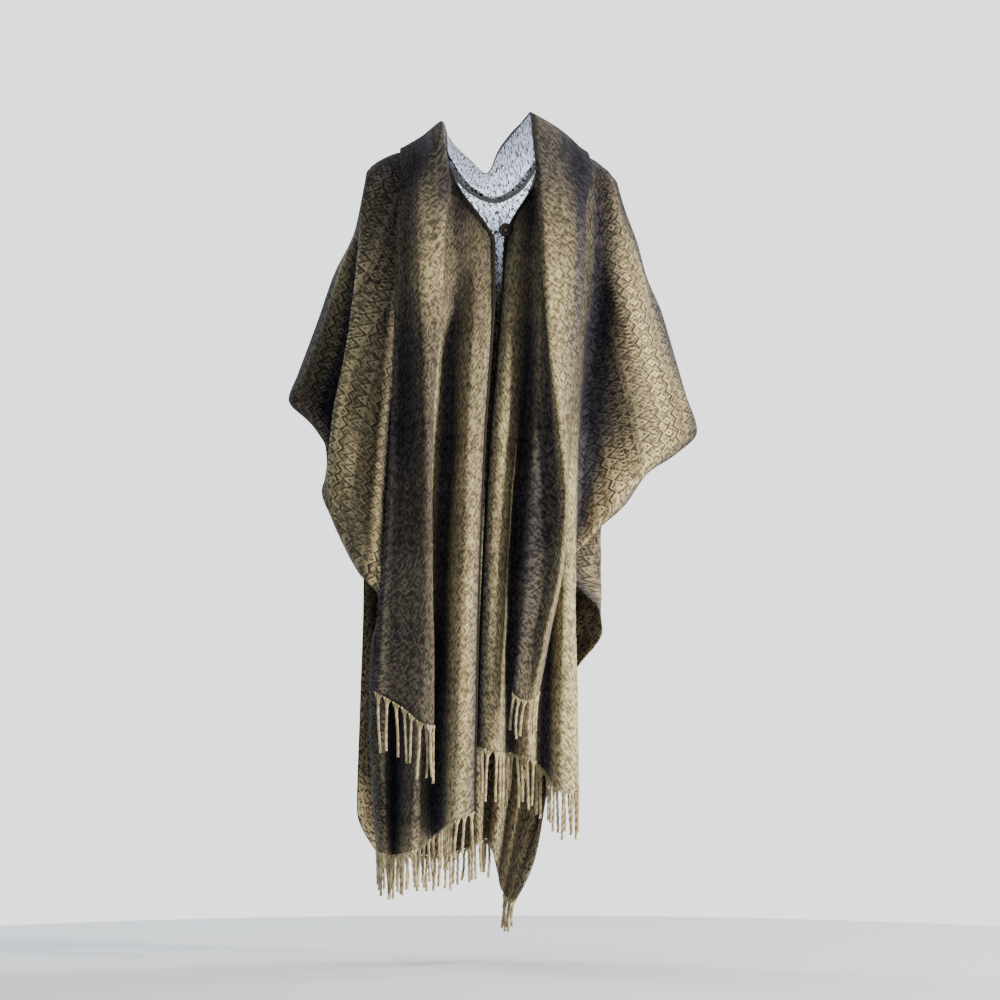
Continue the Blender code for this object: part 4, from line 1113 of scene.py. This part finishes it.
def blanket_weave(name, rows, reverse=False):
    """Brushed jacquard blanket cloth. The motifs step from yarn to yarn, and the nap blurs them."""
    tints = settings().colours
    graph = Graph(name, 0.95, Sheen_Weight=0.06, Sheen_Roughness=0.5, Specular_IOR_Level=0.05)
    calc = graph.calc
    flat = graph.weave_places()
    warp, weft, _ = graph.split(flat)
    fuzz = graph.noise(flat, 520.0)
    drift = calc("MULTIPLY", calc("SUBTRACT", graph.noise(flat, 11.0), 0.5), DRIFT)
    blur = calc("MULTIPLY", calc("SUBTRACT", fuzz, 0.5), BLUR)
    cell = YARN_CELL * MM
    u = calc("SNAP", calc("ADD", calc("ADD", warp, 50.0), blur), cell)
    v = calc("SNAP", calc("ADD", calc("ADD", calc("ADD", weft, 50.0), drift), blur), cell)
    strokes = nap_strokes(graph, flat)
    clear = graph.attribute("clear")
    strength = motif_strength(graph, flat, strokes, clear)
    cream, dark = (calc("MULTIPLY", share, strength) for share in banded(graph, rows, u, v))
    grain = graph.speckle(graph.join(u, v))
    nap = graph.between(strokes, 0.43, 0.58)
    if reverse:
        tone = reverse_tone(graph, tints, cream, grain, nap)
    else:
        tone = face_tone(graph, tints, cream, dark, grain, nap)
    band = graph.noise(graph.join(calc("MULTIPLY", warp, 0.12), weft), 8.0, 2.0, 0.6)
    dim = calc("MULTIPLY", graph.between(band, 0.55, 0.38), calc("MULTIPLY_ADD", clear, 0.55, -0.1))
    tone = graph.mix(dim, tone, BAND_TINT, "MULTIPLY")
    # Painted shade in the folds: darker where the face lies deep, and on the reverse behind the face's
    # ridges.
    ridge = graph.attribute("shade")
    deep = calc("MULTIPLY", ridge, 0.55) if reverse else calc("MULTIPLY_ADD", ridge, -0.93, 0.93)
    tone = graph.mix(deep, tone, tints.shade, "MULTIPLY")
    # Painted shadow: the patches that lie in shade are darkened towards their tint.
    if not reverse:
        tone = graph.mix(graph.attribute("painted_shadow"), tone, tints.painted_shadow, "MULTIPLY")
    thread = calc("MULTIPLY", calc("SINE", calc("MULTIPLY", warp, 2 * math.pi / cell)),
                  calc("SINE", calc("MULTIPLY", weft, 2 * math.pi / cell)))
    graph.bump(calc("MULTIPLY_ADD", thread, 0.3, calc("ADD", fuzz, strokes)), 0.5, NAP_HEIGHT)
    return graph.base(tone)


def twisted_yarn(name, colour_value):
    """Wool yarn with fibres that run along the ply."""
    graph = Graph(name, 0.9, Sheen_Weight=0.4, Sheen_Roughness=0.4, Specular_IOR_Level=0.15)
    where = graph.places()
    fibres = graph.noise(where, 900.0)
    patch = graph.noise(where, 60.0)
    deep = tuple(c * 0.42 for c in colour_value)
    tone = graph.mix(graph.between(fibres, 0.30, 0.62), deep, colour_value)
    tone = graph.mix(graph.between(patch, 0.62, 0.35), tone, YARN_TINT, "MULTIPLY")
    graph.bump(fibres, 0.5, 0.0006)
    return graph.base(tone)


def ribbed_tape(name, colour_value):
    """Dark woven tape or cord, with fine paler flecks where it is worn."""
    graph = Graph(name, 0.95, Specular_IOR_Level=0.05)
    flecks = graph.noise(graph.places(), 700.0, 3.0)
    worn = tuple(min(1.0, c * 3.2) for c in colour_value)
    tone = graph.mix(graph.between(flecks, 0.52, 0.75), colour_value, worn)
    graph.bump(flecks, 0.6, 0.0005)
    return graph.base(tone)


def horn(name, colour_value):
    """Turned horn: its rim and one ring are darker, and its centre is paler."""
    graph = Graph(name, 0.42, Specular_IOR_Level=0.25)
    calc = graph.calc
    where = graph.places()
    x, _, z = graph.split(where)
    off_x = calc("SUBTRACT", x, BUTTON_ACROSS * MM)
    off_z = calc("ADD", z, BUTTON_DROP * MM)
    squares = calc("ADD", calc("MULTIPLY", off_x, off_x), calc("MULTIPLY", off_z, off_z))
    radius = calc("SQRT", squares)
    streaks = graph.noise(graph.join(calc("MULTIPLY", x, 0.35), z), 420.0, 4.0, 0.6, 0.8)
    light = tuple(min(1.0, c * 2.2) for c in colour_value)
    worn = tuple(min(1.0, c * 6.0) for c in colour_value)
    tone = graph.mix(graph.between(streaks, 0.40, 0.75), colour_value, light)
    rim = graph.between(radius, *HORN_RIM)
    ring = calc("COMPARE", radius, *HORN_RING)
    tone = graph.mix(calc("MAXIMUM", rim, ring), tone, HORN_TINT, "MULTIPLY")
    tone = graph.mix(graph.between(radius, *HORN_CENTRE), tone, worn)
    graph.bump(graph.noise(where, 1600.0), 0.15, 0.0003)
    return graph.base(tone)


# Geometry Nodes

class Tree(Nodes):
    """A Geometry Nodes tree with named inputs, that ends in real geometry in one material."""

    def __init__(self, name, sizes):
        self.group = bpy.data.node_groups.new(name, "GeometryNodeTree")
        super().__init__(self.group)
        face = self.group.interface
        face.new_socket("Geometry", in_out="INPUT", socket_type="NodeSocketGeometry")
        self.identifiers = {}
        sockets = {**dict.fromkeys(sizes, "NodeSocketFloat"), "Material": "NodeSocketMaterial"}
        for label, kind in sockets.items():
            socket = face.new_socket(label, in_out="INPUT", socket_type=kind)
            self.identifiers[label] = socket.identifier
        face.new_socket("Geometry", in_out="OUTPUT", socket_type="NodeSocketGeometry")
        self.start = self.nodes.new("NodeGroupInput")
        self.end = self.nodes.new("NodeGroupOutput")

    def given(self, label):
        return self.start.outputs[label]

    def finish(self, geometry):
        real = self.out("GeometryNodeRealizeInstances", {0: geometry})
        finish = self.out("GeometryNodeSetMaterial", {
            "Geometry": real, "Material": self.given("Material")})
        self.links.new(finish, self.end.inputs[0])
        return self

    def run_on(self, obj, values):
        """Sets the tree's inputs on an object, and makes its result the object's plain mesh."""
        modifier = obj.modifiers.new(self.group.name, "NODES")
        modifier.node_group = self.group
        for label, value in values.items():
            modifier[self.identifiers[label]] = value
        made_plain(obj)
        obj.data.materials.clear()
        obj.data.materials.append(values["Material"])
        return obj


def yarn_tree():
    """Three plies wound round each of the object's edge lines, thinner where its radius says."""
    tree = Tree("three_ply_yarn", ("Ply", "Turns"))
    lines = tree.out("GeometryNodeMeshToCurve", {"Mesh": tree.given("Geometry")})
    scale = tree.out("GeometryNodeInputNamedAttribute", {"Name": "ply_scale"}, data_type="FLOAT")
    sized = tree.out("GeometryNodeSetCurveRadius", {"Curve": lines, "Radius": scale})
    length = tree.add("GeometryNodeSplineParameter").outputs["Length"]
    tilt = tree.calc("MULTIPLY", tree.calc("MULTIPLY", length, tree.given("Turns")), 2 * math.pi)
    wound = tree.out("GeometryNodeSetCurveTilt", {"Curve": sized, "Tilt": tilt})
    half = tree.calc("MULTIPLY", tree.given("Ply"), 0.5)
    plies = tree.add("GeometryNodeJoinGeometry")
    for ply in range(3):
        turn = 2 * math.pi * ply / 3
        ring = tree.out("GeometryNodeCurvePrimitiveCircle", {"Resolution": 6, "Radius": half})
        across = tree.calc("MULTIPLY", half, PLY_SPREAD * math.cos(turn))
        up = tree.calc("MULTIPLY", half, PLY_SPREAD * math.sin(turn))
        place = tree.out("ShaderNodeCombineXYZ", {0: across, 1: up})
        moved = tree.out("GeometryNodeTransform", {"Geometry": ring, "Translation": place})
        tree.links.new(moved, plies.inputs[0])
    mesh = tree.out("GeometryNodeCurveToMesh", {
        "Curve": wound, "Profile Curve": plies.outputs[0], "Fill Caps": True})
    return tree.finish(tree.out("GeometryNodeSetShadeSmooth", {"Geometry": mesh}))


def stitch_tree():
    """A short thread at even steps along each of the object's edge lines."""
    tree = Tree("running_stitch", ("Step", "Thread"))
    lines = tree.out("GeometryNodeMeshToCurve", {"Mesh": tree.given("Geometry")})
    steps = tree.out("GeometryNodeResampleCurve", {"Curve": lines, "Length": tree.given("Step")},
                     mode="LENGTH")
    tangent = tree.out("GeometryNodeInputTangent")
    turned = tree.out("FunctionNodeAlignRotationToVector", {"Vector": tangent}, axis="Z")
    thread = tree.out("GeometryNodeMeshIcoSphere", {
        "Radius": tree.given("Thread"), "Subdivisions": 1})
    long = tree.out("GeometryNodeTransform", {"Geometry": thread, "Scale": (1, 1, 3.6)})
    placed = tree.out("GeometryNodeInstanceOnPoints", {
        "Points": steps, "Instance": long, "Rotation": turned})
    real = tree.out("GeometryNodeRealizeInstances", {0: placed})
    return tree.finish(tree.out("GeometryNodeSetShadeSmooth", {"Geometry": real}))


# Pieces

def keep(obj, nodes):
    """Hangs a finished piece on the body, and hides the parts of the model that it stands for."""
    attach(obj, BODY)
    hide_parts(*nodes)
    return obj


def material_once(name, make, *details):
    """The finish of this name, made when a piece first asks for it."""
    return bpy.data.materials.get(name) or make(name, *details)


def weave_materials(kind, rows):
    return [
        material_once(f"wool_{kind}", blanket_weave, rows),
        material_once(f"wool_{kind}_reverse", blanket_weave, rows, True),
    ]


def shaped_grid(name):
    """A panel's fine points in millimetres with its creases, its unevenness and its shares."""
    cloth = settings().cloth
    sheet = make_sheet(name)
    across, down = even_shares(sheet, len(PANELS[name]) - 1, cloth.cell / MM)
    grid = sheet(across, down)
    fade = edge_fade(grid, cloth.edge_margin / MM)
    heights = crease_heights(name, across, down, grid) + unevenness(name, grid, cloth.ripple / MM)
    grid = grid + grid_normals(grid, OUTWARD[name]) * (heights * fade)[..., None]
    return grid, (across, down)


def make_panel(name):
    """A panel of cloth, made from its sheet of folds. A part of the scarf rests on the panel below it."""
    cloth = settings().cloth
    grid, shares = shaped_grid(name)
    flat_grid = make_sheet(name)(*shares)
    kind, rows, thickness = "body", BODY_ROWS, cloth.thickness
    if name in LIES_ON:
        kind, rows, thickness = "scarf", SCARF_ROWS, cloth.scarf_thickness
        panel, _ = shaped_grid(LIES_ON[name])
        sewn_rows = SEWN_ROWS if name == "scarf_neck" else 0
        grid = lifted_clear(
            grid, panel, OUTWARD[LIES_ON[name]], cloth.scarf_rest / MM, sewn_rows)
    pale_rows = int(NECK_CREST * grid.shape[1]) if name == "scarf_neck" else 0
    obj = cloth_object(
        name, grid, flat_grid, shares, thickness, weave_materials(kind, rows), pale_rows)
    area = sum(face.area for face in obj.data.polygons) / 2
    return keep(obj, [name])


def hem_line(row):
    """Places evenly spaced along a hem: its points, the cloth's ways down, along and out, and the
    room that each place has."""
    sheet = make_sheet(row.panel)
    fine = np.linspace(row.first, row.last, 801)
    length = steps_along(sheet(fine, np.array([1.0]))[:, 0])
    places = (np.arange(row.tassels) + 0.5) / row.tassels
    shares = np.interp(places * length[-1], length, fine)
    grid = sheet(shares, np.array([HEM_START, 1.0]))
    hem = grid[:, 1]
    fall = unit(hem - grid[:, 0])
    along = unit(np.gradient(hem, axis=0))
    return hem, fall, along, unit(np.cross(along, fall)), length[-1] / row.tassels


def tassel_lines(name, row):
    """Each tassel's main line, and two short legs that gather yarn from the hem on its sides."""
    draw = random.Random(name)
    hem, fall, along, normal, pitch = hem_line(row)
    lines = []
    for root, down, side, out in zip(hem, fall, along, normal):
        length = row.length * draw.uniform(*TASSEL_SHARES)
        lean = draw.uniform(-TASSEL_LEAN, TASSEL_LEAN) * pitch
        swing = draw.uniform(-1, 1) * TASSEL_SWING
        phase = draw.uniform(0, 2 * math.pi)
        start = root + down
        points, scales = [], []
        # It leaves along the cloth, turns straight down, and sways in one slow wave.
        for k in range(TASSEL_RINGS + 1):
            share = k / TASSEL_RINGS
            gravity = share ** 0.6
            way = down * (1 - gravity) + np.array((0, 0, -1.0)) * gravity
            base = start if k == 0 else points[-1]
            point = base + unit(way) * (length / TASSEL_RINGS if k else 0)
            bend = math.cos(phase + 5.0 * share) * swing / TASSEL_RINGS * (share ** 0.5) * 3
            point = point + side * (lean / TASSEL_RINGS * 2 + bend) + out * bend * 0.35
            points.append(point)
            scales.append(1.0 + 0.10 * math.sin(phase + 21 * share) - 0.18 * share ** 3)
        lines.append((points, scales))
        meet = np.array(points[3])
        for reach in (-LEG_REACH, LEG_REACH):
            foot = root + side * pitch * reach + down * 0.6
            shares = np.linspace(0, 1, LEG_POINTS)
            leg = [foot + (meet - foot) * s - side * pitch * reach * 0.25 * math.sin(math.pi * s)
                   for s in shares]
            lines.append((leg, [0.62 - 0.12 * s for s in shares]))
    return lines


def line_object(name, lines):
    """An object of edge lines in metres, each point with the scale of the yarn there."""
    mesh = bpy.data.meshes.new(name)
    points, edges, scales = [], [], []
    for line, sizes in lines:
        first = len(points)
        points += [tuple(MM * c for c in point) for point in line]
        edges += [(first + k, first + k + 1) for k in range(len(line) - 1)]
        scales += list(sizes)
    mesh.from_pydata(points, edges, [])
    store(mesh, "ply_scale", scales)
    return linked(name, mesh)


def make_fringe(name):
    """The twisted tassels of one hem."""
    row = FRINGES[name]
    trims = settings().trims
    obj = line_object(name.replace("fringe", "tassels"), tassel_lines(name, row))
    yarn = material_once("fringe_wool", twisted_yarn, tuple(settings().colours.fringe))
    yarn_tree().run_on(obj, {"Ply": trims.yarn, "Turns": trims.twist, "Material": yarn})
    return keep(obj, [name])


def swept(name, centres, wide, thick, material):
    """A closed tape through the centres. wide and thick hold its two half axes at each one."""
    shape = bmesh.new()
    rings = []
    for centre, a, b in zip(centres, wide, thick):
        ring = []
        for k in range(TAPE_SIDES):
            turn = 2 * math.pi * (k + 0.5) / TAPE_SIDES
            x, y = math.cos(turn), math.sin(turn)
            square = max(abs(x), abs(y)) ** TAPE_SQUARENESS
            ring.append(shape.verts.new((centre + a * x / square + b * y / square) * MM))
        rings.append(ring)
    for low, high in zip(rings, rings[1:]):
        for k in range(TAPE_SIDES):
            beside = (k + 1) % TAPE_SIDES
            shape.faces.new((low[k], low[beside], high[beside], high[k]))
    shape.faces.new(rings[0])
    shape.faces.new(rings[-1])
    bmesh.ops.recalc_face_normals(shape, faces=shape.faces)
    obj = object_of(name, shape, material)
    obj.data.shade_smooth()
    return obj


def open_edges():
    """The line of the front edges and the neckline, from hem to hem, and the cloth's normals."""
    down = np.linspace(0, 1, EDGE_POINTS)

    def stretch(name, first, last, count, drops):
        folds = len(PANELS[name]) - 1
        grid = make_sheet(name)(np.linspace(first / folds, last / folds, count), drops)
        return grid, grid_normals(grid, OUTWARD[name])

    lefts = stretch("front_left", 0, NECK_FOLD_OF_FRONT, FRONT_NECK_POINTS, down)
    rights = stretch("front_right", 0, NECK_FOLD_OF_FRONT, FRONT_NECK_POINTS, down)
    backs = stretch("back", *NECK_FOLDS_OF_BACK, BACK_NECK_POINTS, down[:4])
    return [
        np.concatenate([
            left[0, ::-1], left[1:, 0], back[2:-2, 0], right[::-1, 0][:-1], right[0],
        ])
        for left, right, back in zip(lefts, rights, backs)
    ]


def smoothed(line, passes):
    """The line with its corners eased. Its two ends stay."""
    for _ in range(passes):
        line[1:-1] = (line[:-2] + 2 * line[1:-1] + line[2:]) / 4
    return line


def make_binding():
    """The tape round the open edges, and the row of stitches that holds it."""
    trims = settings().trims
    radius = trims.binding_radius / MM
    line, normals = open_edges()
    off = unit(np.cross(np.gradient(line, axis=0), normals))
    centres = smoothed(line + off * (trims.binding_gap / MM + radius), 3)
    along = unit(np.gradient(centres, axis=0))
    wide = unit(np.cross(along, normals))
    thick = np.cross(wide, along)
    tape = material_once("binding_tape", ribbed_tape, tuple(settings().colours.tape))
    obj = swept("edge_tape", centres, wide * radius, thick * radius * TAPE_THICKNESS, tape)
    keep(obj, ["edge_binding"])
    seam = centres - wide * radius * STITCH_INSET + thick * radius * STITCH_LIFT
    stitches = line_object("tape_stitches", [(list(seam), [1.0] * len(seam))])
    thread = material_once("tape_thread", twisted_yarn, THREADS["tape"])
    stitch_tree().run_on(
        stitches, {"Step": trims.stitch, "Thread": STITCH_RADIUS, "Material": thread})
    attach(stitches, BODY)
    return obj, stitches


def make_button():
    """The turned disc, spun about its axis, its face to the front."""
    shape = bmesh.new()
    rings = []
    for radius, height in BUTTON_PROFILE:
        ring = []
        for k in range(BUTTON_STEPS if radius else 1):
            turn = 2 * math.pi * k / BUTTON_STEPS
            ring.append(shape.verts.new((
                (BUTTON_ACROSS + radius * math.cos(turn)) * MM,
                (BUTTON_BACK - height) * MM,
                (-BUTTON_DROP + radius * math.sin(turn)) * MM,
            )))
        rings.append(ring)
    for low, high in zip(rings, rings[1:]):
        for k in range(BUTTON_STEPS):
            corners = [low[k % len(low)], low[(k + 1) % len(low)],
                       high[(k + 1) % len(high)], high[k % len(high)]]
            shape.faces.new(tuple(dict.fromkeys(corners)))
    bmesh.ops.recalc_face_normals(shape, faces=shape.faces)
    finish = material_once("turned_horn", horn, tuple(settings().colours.button))
    obj = object_of("horn_button", shape, finish)
    obj.data.shade_smooth()
    obj.data.set_sharp_from_angle(angle=math.radians(BUTTON_SHARP_ANGLE))
    return keep(obj, ["button"])


def make_shank():
    """The button's thread: a helix wound from the tape to the button's back."""
    count = SHANK_WINDS * SHANK_STEPS
    line = []
    for k in range(count + 1):
        share = k / count
        turn = 2 * math.pi * SHANK_WINDS * share
        line.append((
            BUTTON_ACROSS + SHANK_RADIUS * math.cos(turn),
            SHANK_DEPTHS[0] + (SHANK_DEPTHS[1] - SHANK_DEPTHS[0]) * share,
            -BUTTON_DROP + SHANK_RADIUS * math.sin(turn),
        ))
    obj = line_object("shank_windings", [(line, [1.0] * len(line))])
    thread = material_once("waxed_thread", twisted_yarn, THREADS["waxed"])
    yarn_tree().run_on(obj, {"Ply": SHANK_PLY, "Turns": SHANK_TURNS, "Material": thread})
    return keep(obj, ["button_shank"])


def make_loop():
    """The elastic loop from the left edge round the button's thread."""
    route = np.array(LOOP_ROUTE, float)
    route[:, 2] *= -1
    length = steps_along(route)
    centres = smooth(length, route, np.linspace(0, length[-1], LOOP_STEPS))
    obj = line_object("loop_cord", [(list(centres), [1.0] * len(centres))])
    elastic = material_once("loop_elastic", ribbed_tape, THREADS["elastic"])
    ply = settings().trims.loop_radius
    yarn_tree().run_on(obj, {"Ply": ply, "Turns": LOOP_TURNS, "Material": elastic})
    return keep(obj, ["button_loop"])


def make_lamp(lamp):
    data = bpy.data.lights.new(lamp.name, "AREA")
    data.energy = lamp.watts
    data.size = lamp.size
    data.color = lamp.tint
    obj = linked(lamp.name, data)
    obj.location = lamp.place
    way = Vector(lamp.target) - Vector(lamp.place)
    obj.rotation_euler = way.to_track_quat("-Z", "Y").to_euler()


def make_floor(height, radius):
    shape = bmesh.new()
    bmesh.ops.create_circle(shape, cap_ends=True, segments=128, radius=radius)
    for corner in shape.verts:
        corner.co.z = height
    return object_of("floor", shape, Graph("pale_floor", 0.9).base(FLOOR_TONE))


def make_surround():
    """A pale surround that is seen evenly, and lights the cloth only a little."""
    world = bpy.data.worlds.new("studio")
    world.use_nodes = True
    studio = Nodes(world.node_tree)
    light = studio.nodes["Background"]
    for socket, value in zip(light.inputs, SURROUND_LIGHT):
        studio.feed(socket, value)
    seen = studio.out("ShaderNodeBackground", dict(enumerate(SURROUND_SEEN)))
    from_camera = studio.add("ShaderNodeLightPath").outputs["Is Camera Ray"]
    both = studio.out("ShaderNodeMixShader", {0: from_camera, 1: light.outputs[0], 2: seen})
    studio.feed(studio.nodes["World Output"].inputs["Surface"], both)
    bpy.context.scene.world = world


def make_stage():
    """The floor, the surround, the lamps, and the camera at the photograph's angle."""
    stage = settings().stage
    floor = make_floor(stage.floor, stage.floor_radius)
    make_surround()
    for lamp in LAMPS:
        make_lamp(lamp)
    data = bpy.data.cameras.new("camera")
    data.sensor_width = 36
    data.lens = data.sensor_width * stage.distance / stage.view_width
    camera = linked("camera", data)
    camera.location = (VIEW_CENTRE[0], -stage.distance, VIEW_CENTRE[2])
    camera.rotation_euler = (math.pi / 2, 0, 0)
    bpy.context.scene.camera = camera
    return floor


# The add-on's operators, panel and settings

def finished(*pieces):
    """What an operator gives back. It stops the script where a piece came out without faces."""
    for piece in pieces:
        if not piece.data.polygons:
            raise RuntimeError(f"{piece.name} has no faces")
    return {"FINISHED"}


class PONCHO_OT_fronts(bpy.types.Operator):
    """Make the two fronts in blanket cloth"""

    bl_idname = "poncho.fronts"
    bl_label = "Fronts"

    def execute(self, context):
        return finished(make_panel("front_left"), make_panel("front_right"))


class PONCHO_OT_back(bpy.types.Operator):
    """Make the back in blanket cloth"""

    bl_idname = "poncho.back"
    bl_label = "Back"

    def execute(self, context):
        return finished(make_panel("back"))


class PONCHO_OT_scarf(bpy.types.Operator):
    """Make the scarf's two ends and its stretch behind the neck"""

    bl_idname = "poncho.scarf"
    bl_label = "Scarf"

    def execute(self, context):
        return finished(*[make_panel(name) for name in LIES_ON])


class PONCHO_OT_fringe(bpy.types.Operator):
    """Make the twisted tassels at every hem"""

    bl_idname = "poncho.fringe"
    bl_label = "Fringe"

    def execute(self, context):
        return finished(*[make_fringe(name) for name in FRINGES])


class PONCHO_OT_binding(bpy.types.Operator):
    """Make the tape along the open edges and its stitches"""

    bl_idname = "poncho.binding"
    bl_label = "Binding"

    def execute(self, context):
        return finished(*make_binding())


class PONCHO_OT_button(bpy.types.Operator):
    """Make the button with its thread, and the loop round it"""

    bl_idname = "poncho.button"
    bl_label = "Button and loop"

    def execute(self, context):
        return finished(make_button(), make_shank(), make_loop())


class PONCHO_OT_stage(bpy.types.Operator):
    """Make the floor, the lights and the camera"""

    bl_idname = "poncho.stage"
    bl_label = "Stage"

    def execute(self, context):
        return finished(make_stage())


OPERATORS = (
    PONCHO_OT_stage, PONCHO_OT_fronts, PONCHO_OT_back, PONCHO_OT_scarf, PONCHO_OT_binding,
    PONCHO_OT_button, PONCHO_OT_fringe,
)


class PONCHO_PG_settings(bpy.types.PropertyGroup):
    """All of the poncho's settings"""

    cloth: bpy.props.PointerProperty(type=PONCHO_PG_cloth)
    colours: bpy.props.PointerProperty(type=PONCHO_PG_colours)
    trims: bpy.props.PointerProperty(type=PONCHO_PG_trims)
    stage: bpy.props.PointerProperty(type=PONCHO_PG_stage)


class PONCHO_PT_panel(bpy.types.Panel):
    """The poncho's pieces and settings"""

    bl_idname = "PONCHO_PT_panel"
    bl_label = "Poncho"
    bl_space_type = "VIEW_3D"
    bl_region_type = "UI"
    bl_category = "Poncho"

    def draw(self, context):
        for operator in OPERATORS:
            self.layout.operator(operator.bl_idname)
        for group in ("cloth", "colours", "trims", "stage"):
            box = self.layout.box()
            values = getattr(context.scene.poncho, group)
            for name in values.__annotations__:
                box.prop(values, name)


CLASSES = (
    PONCHO_PG_cloth, PONCHO_PG_colours, PONCHO_PG_trims, PONCHO_PG_stage, PONCHO_PG_settings,
    *OPERATORS, PONCHO_PT_panel,
)


def register():
    for cls in CLASSES:
        bpy.utils.register_class(cls)
    bpy.types.Scene.poncho = bpy.props.PointerProperty(type=PONCHO_PG_settings)


def unregister():
    del bpy.types.Scene.poncho
    for cls in reversed(CLASSES):
        bpy.utils.unregister_class(cls)


def main():
    register()
    bpy.ops.poncho.stage()
    bpy.ops.poncho.fronts()
    bpy.ops.poncho.back()
    bpy.ops.poncho.scarf()
    bpy.ops.poncho.binding()
    bpy.ops.poncho.button()
    bpy.ops.poncho.fringe()


if __name__ == "__main__":
    main()
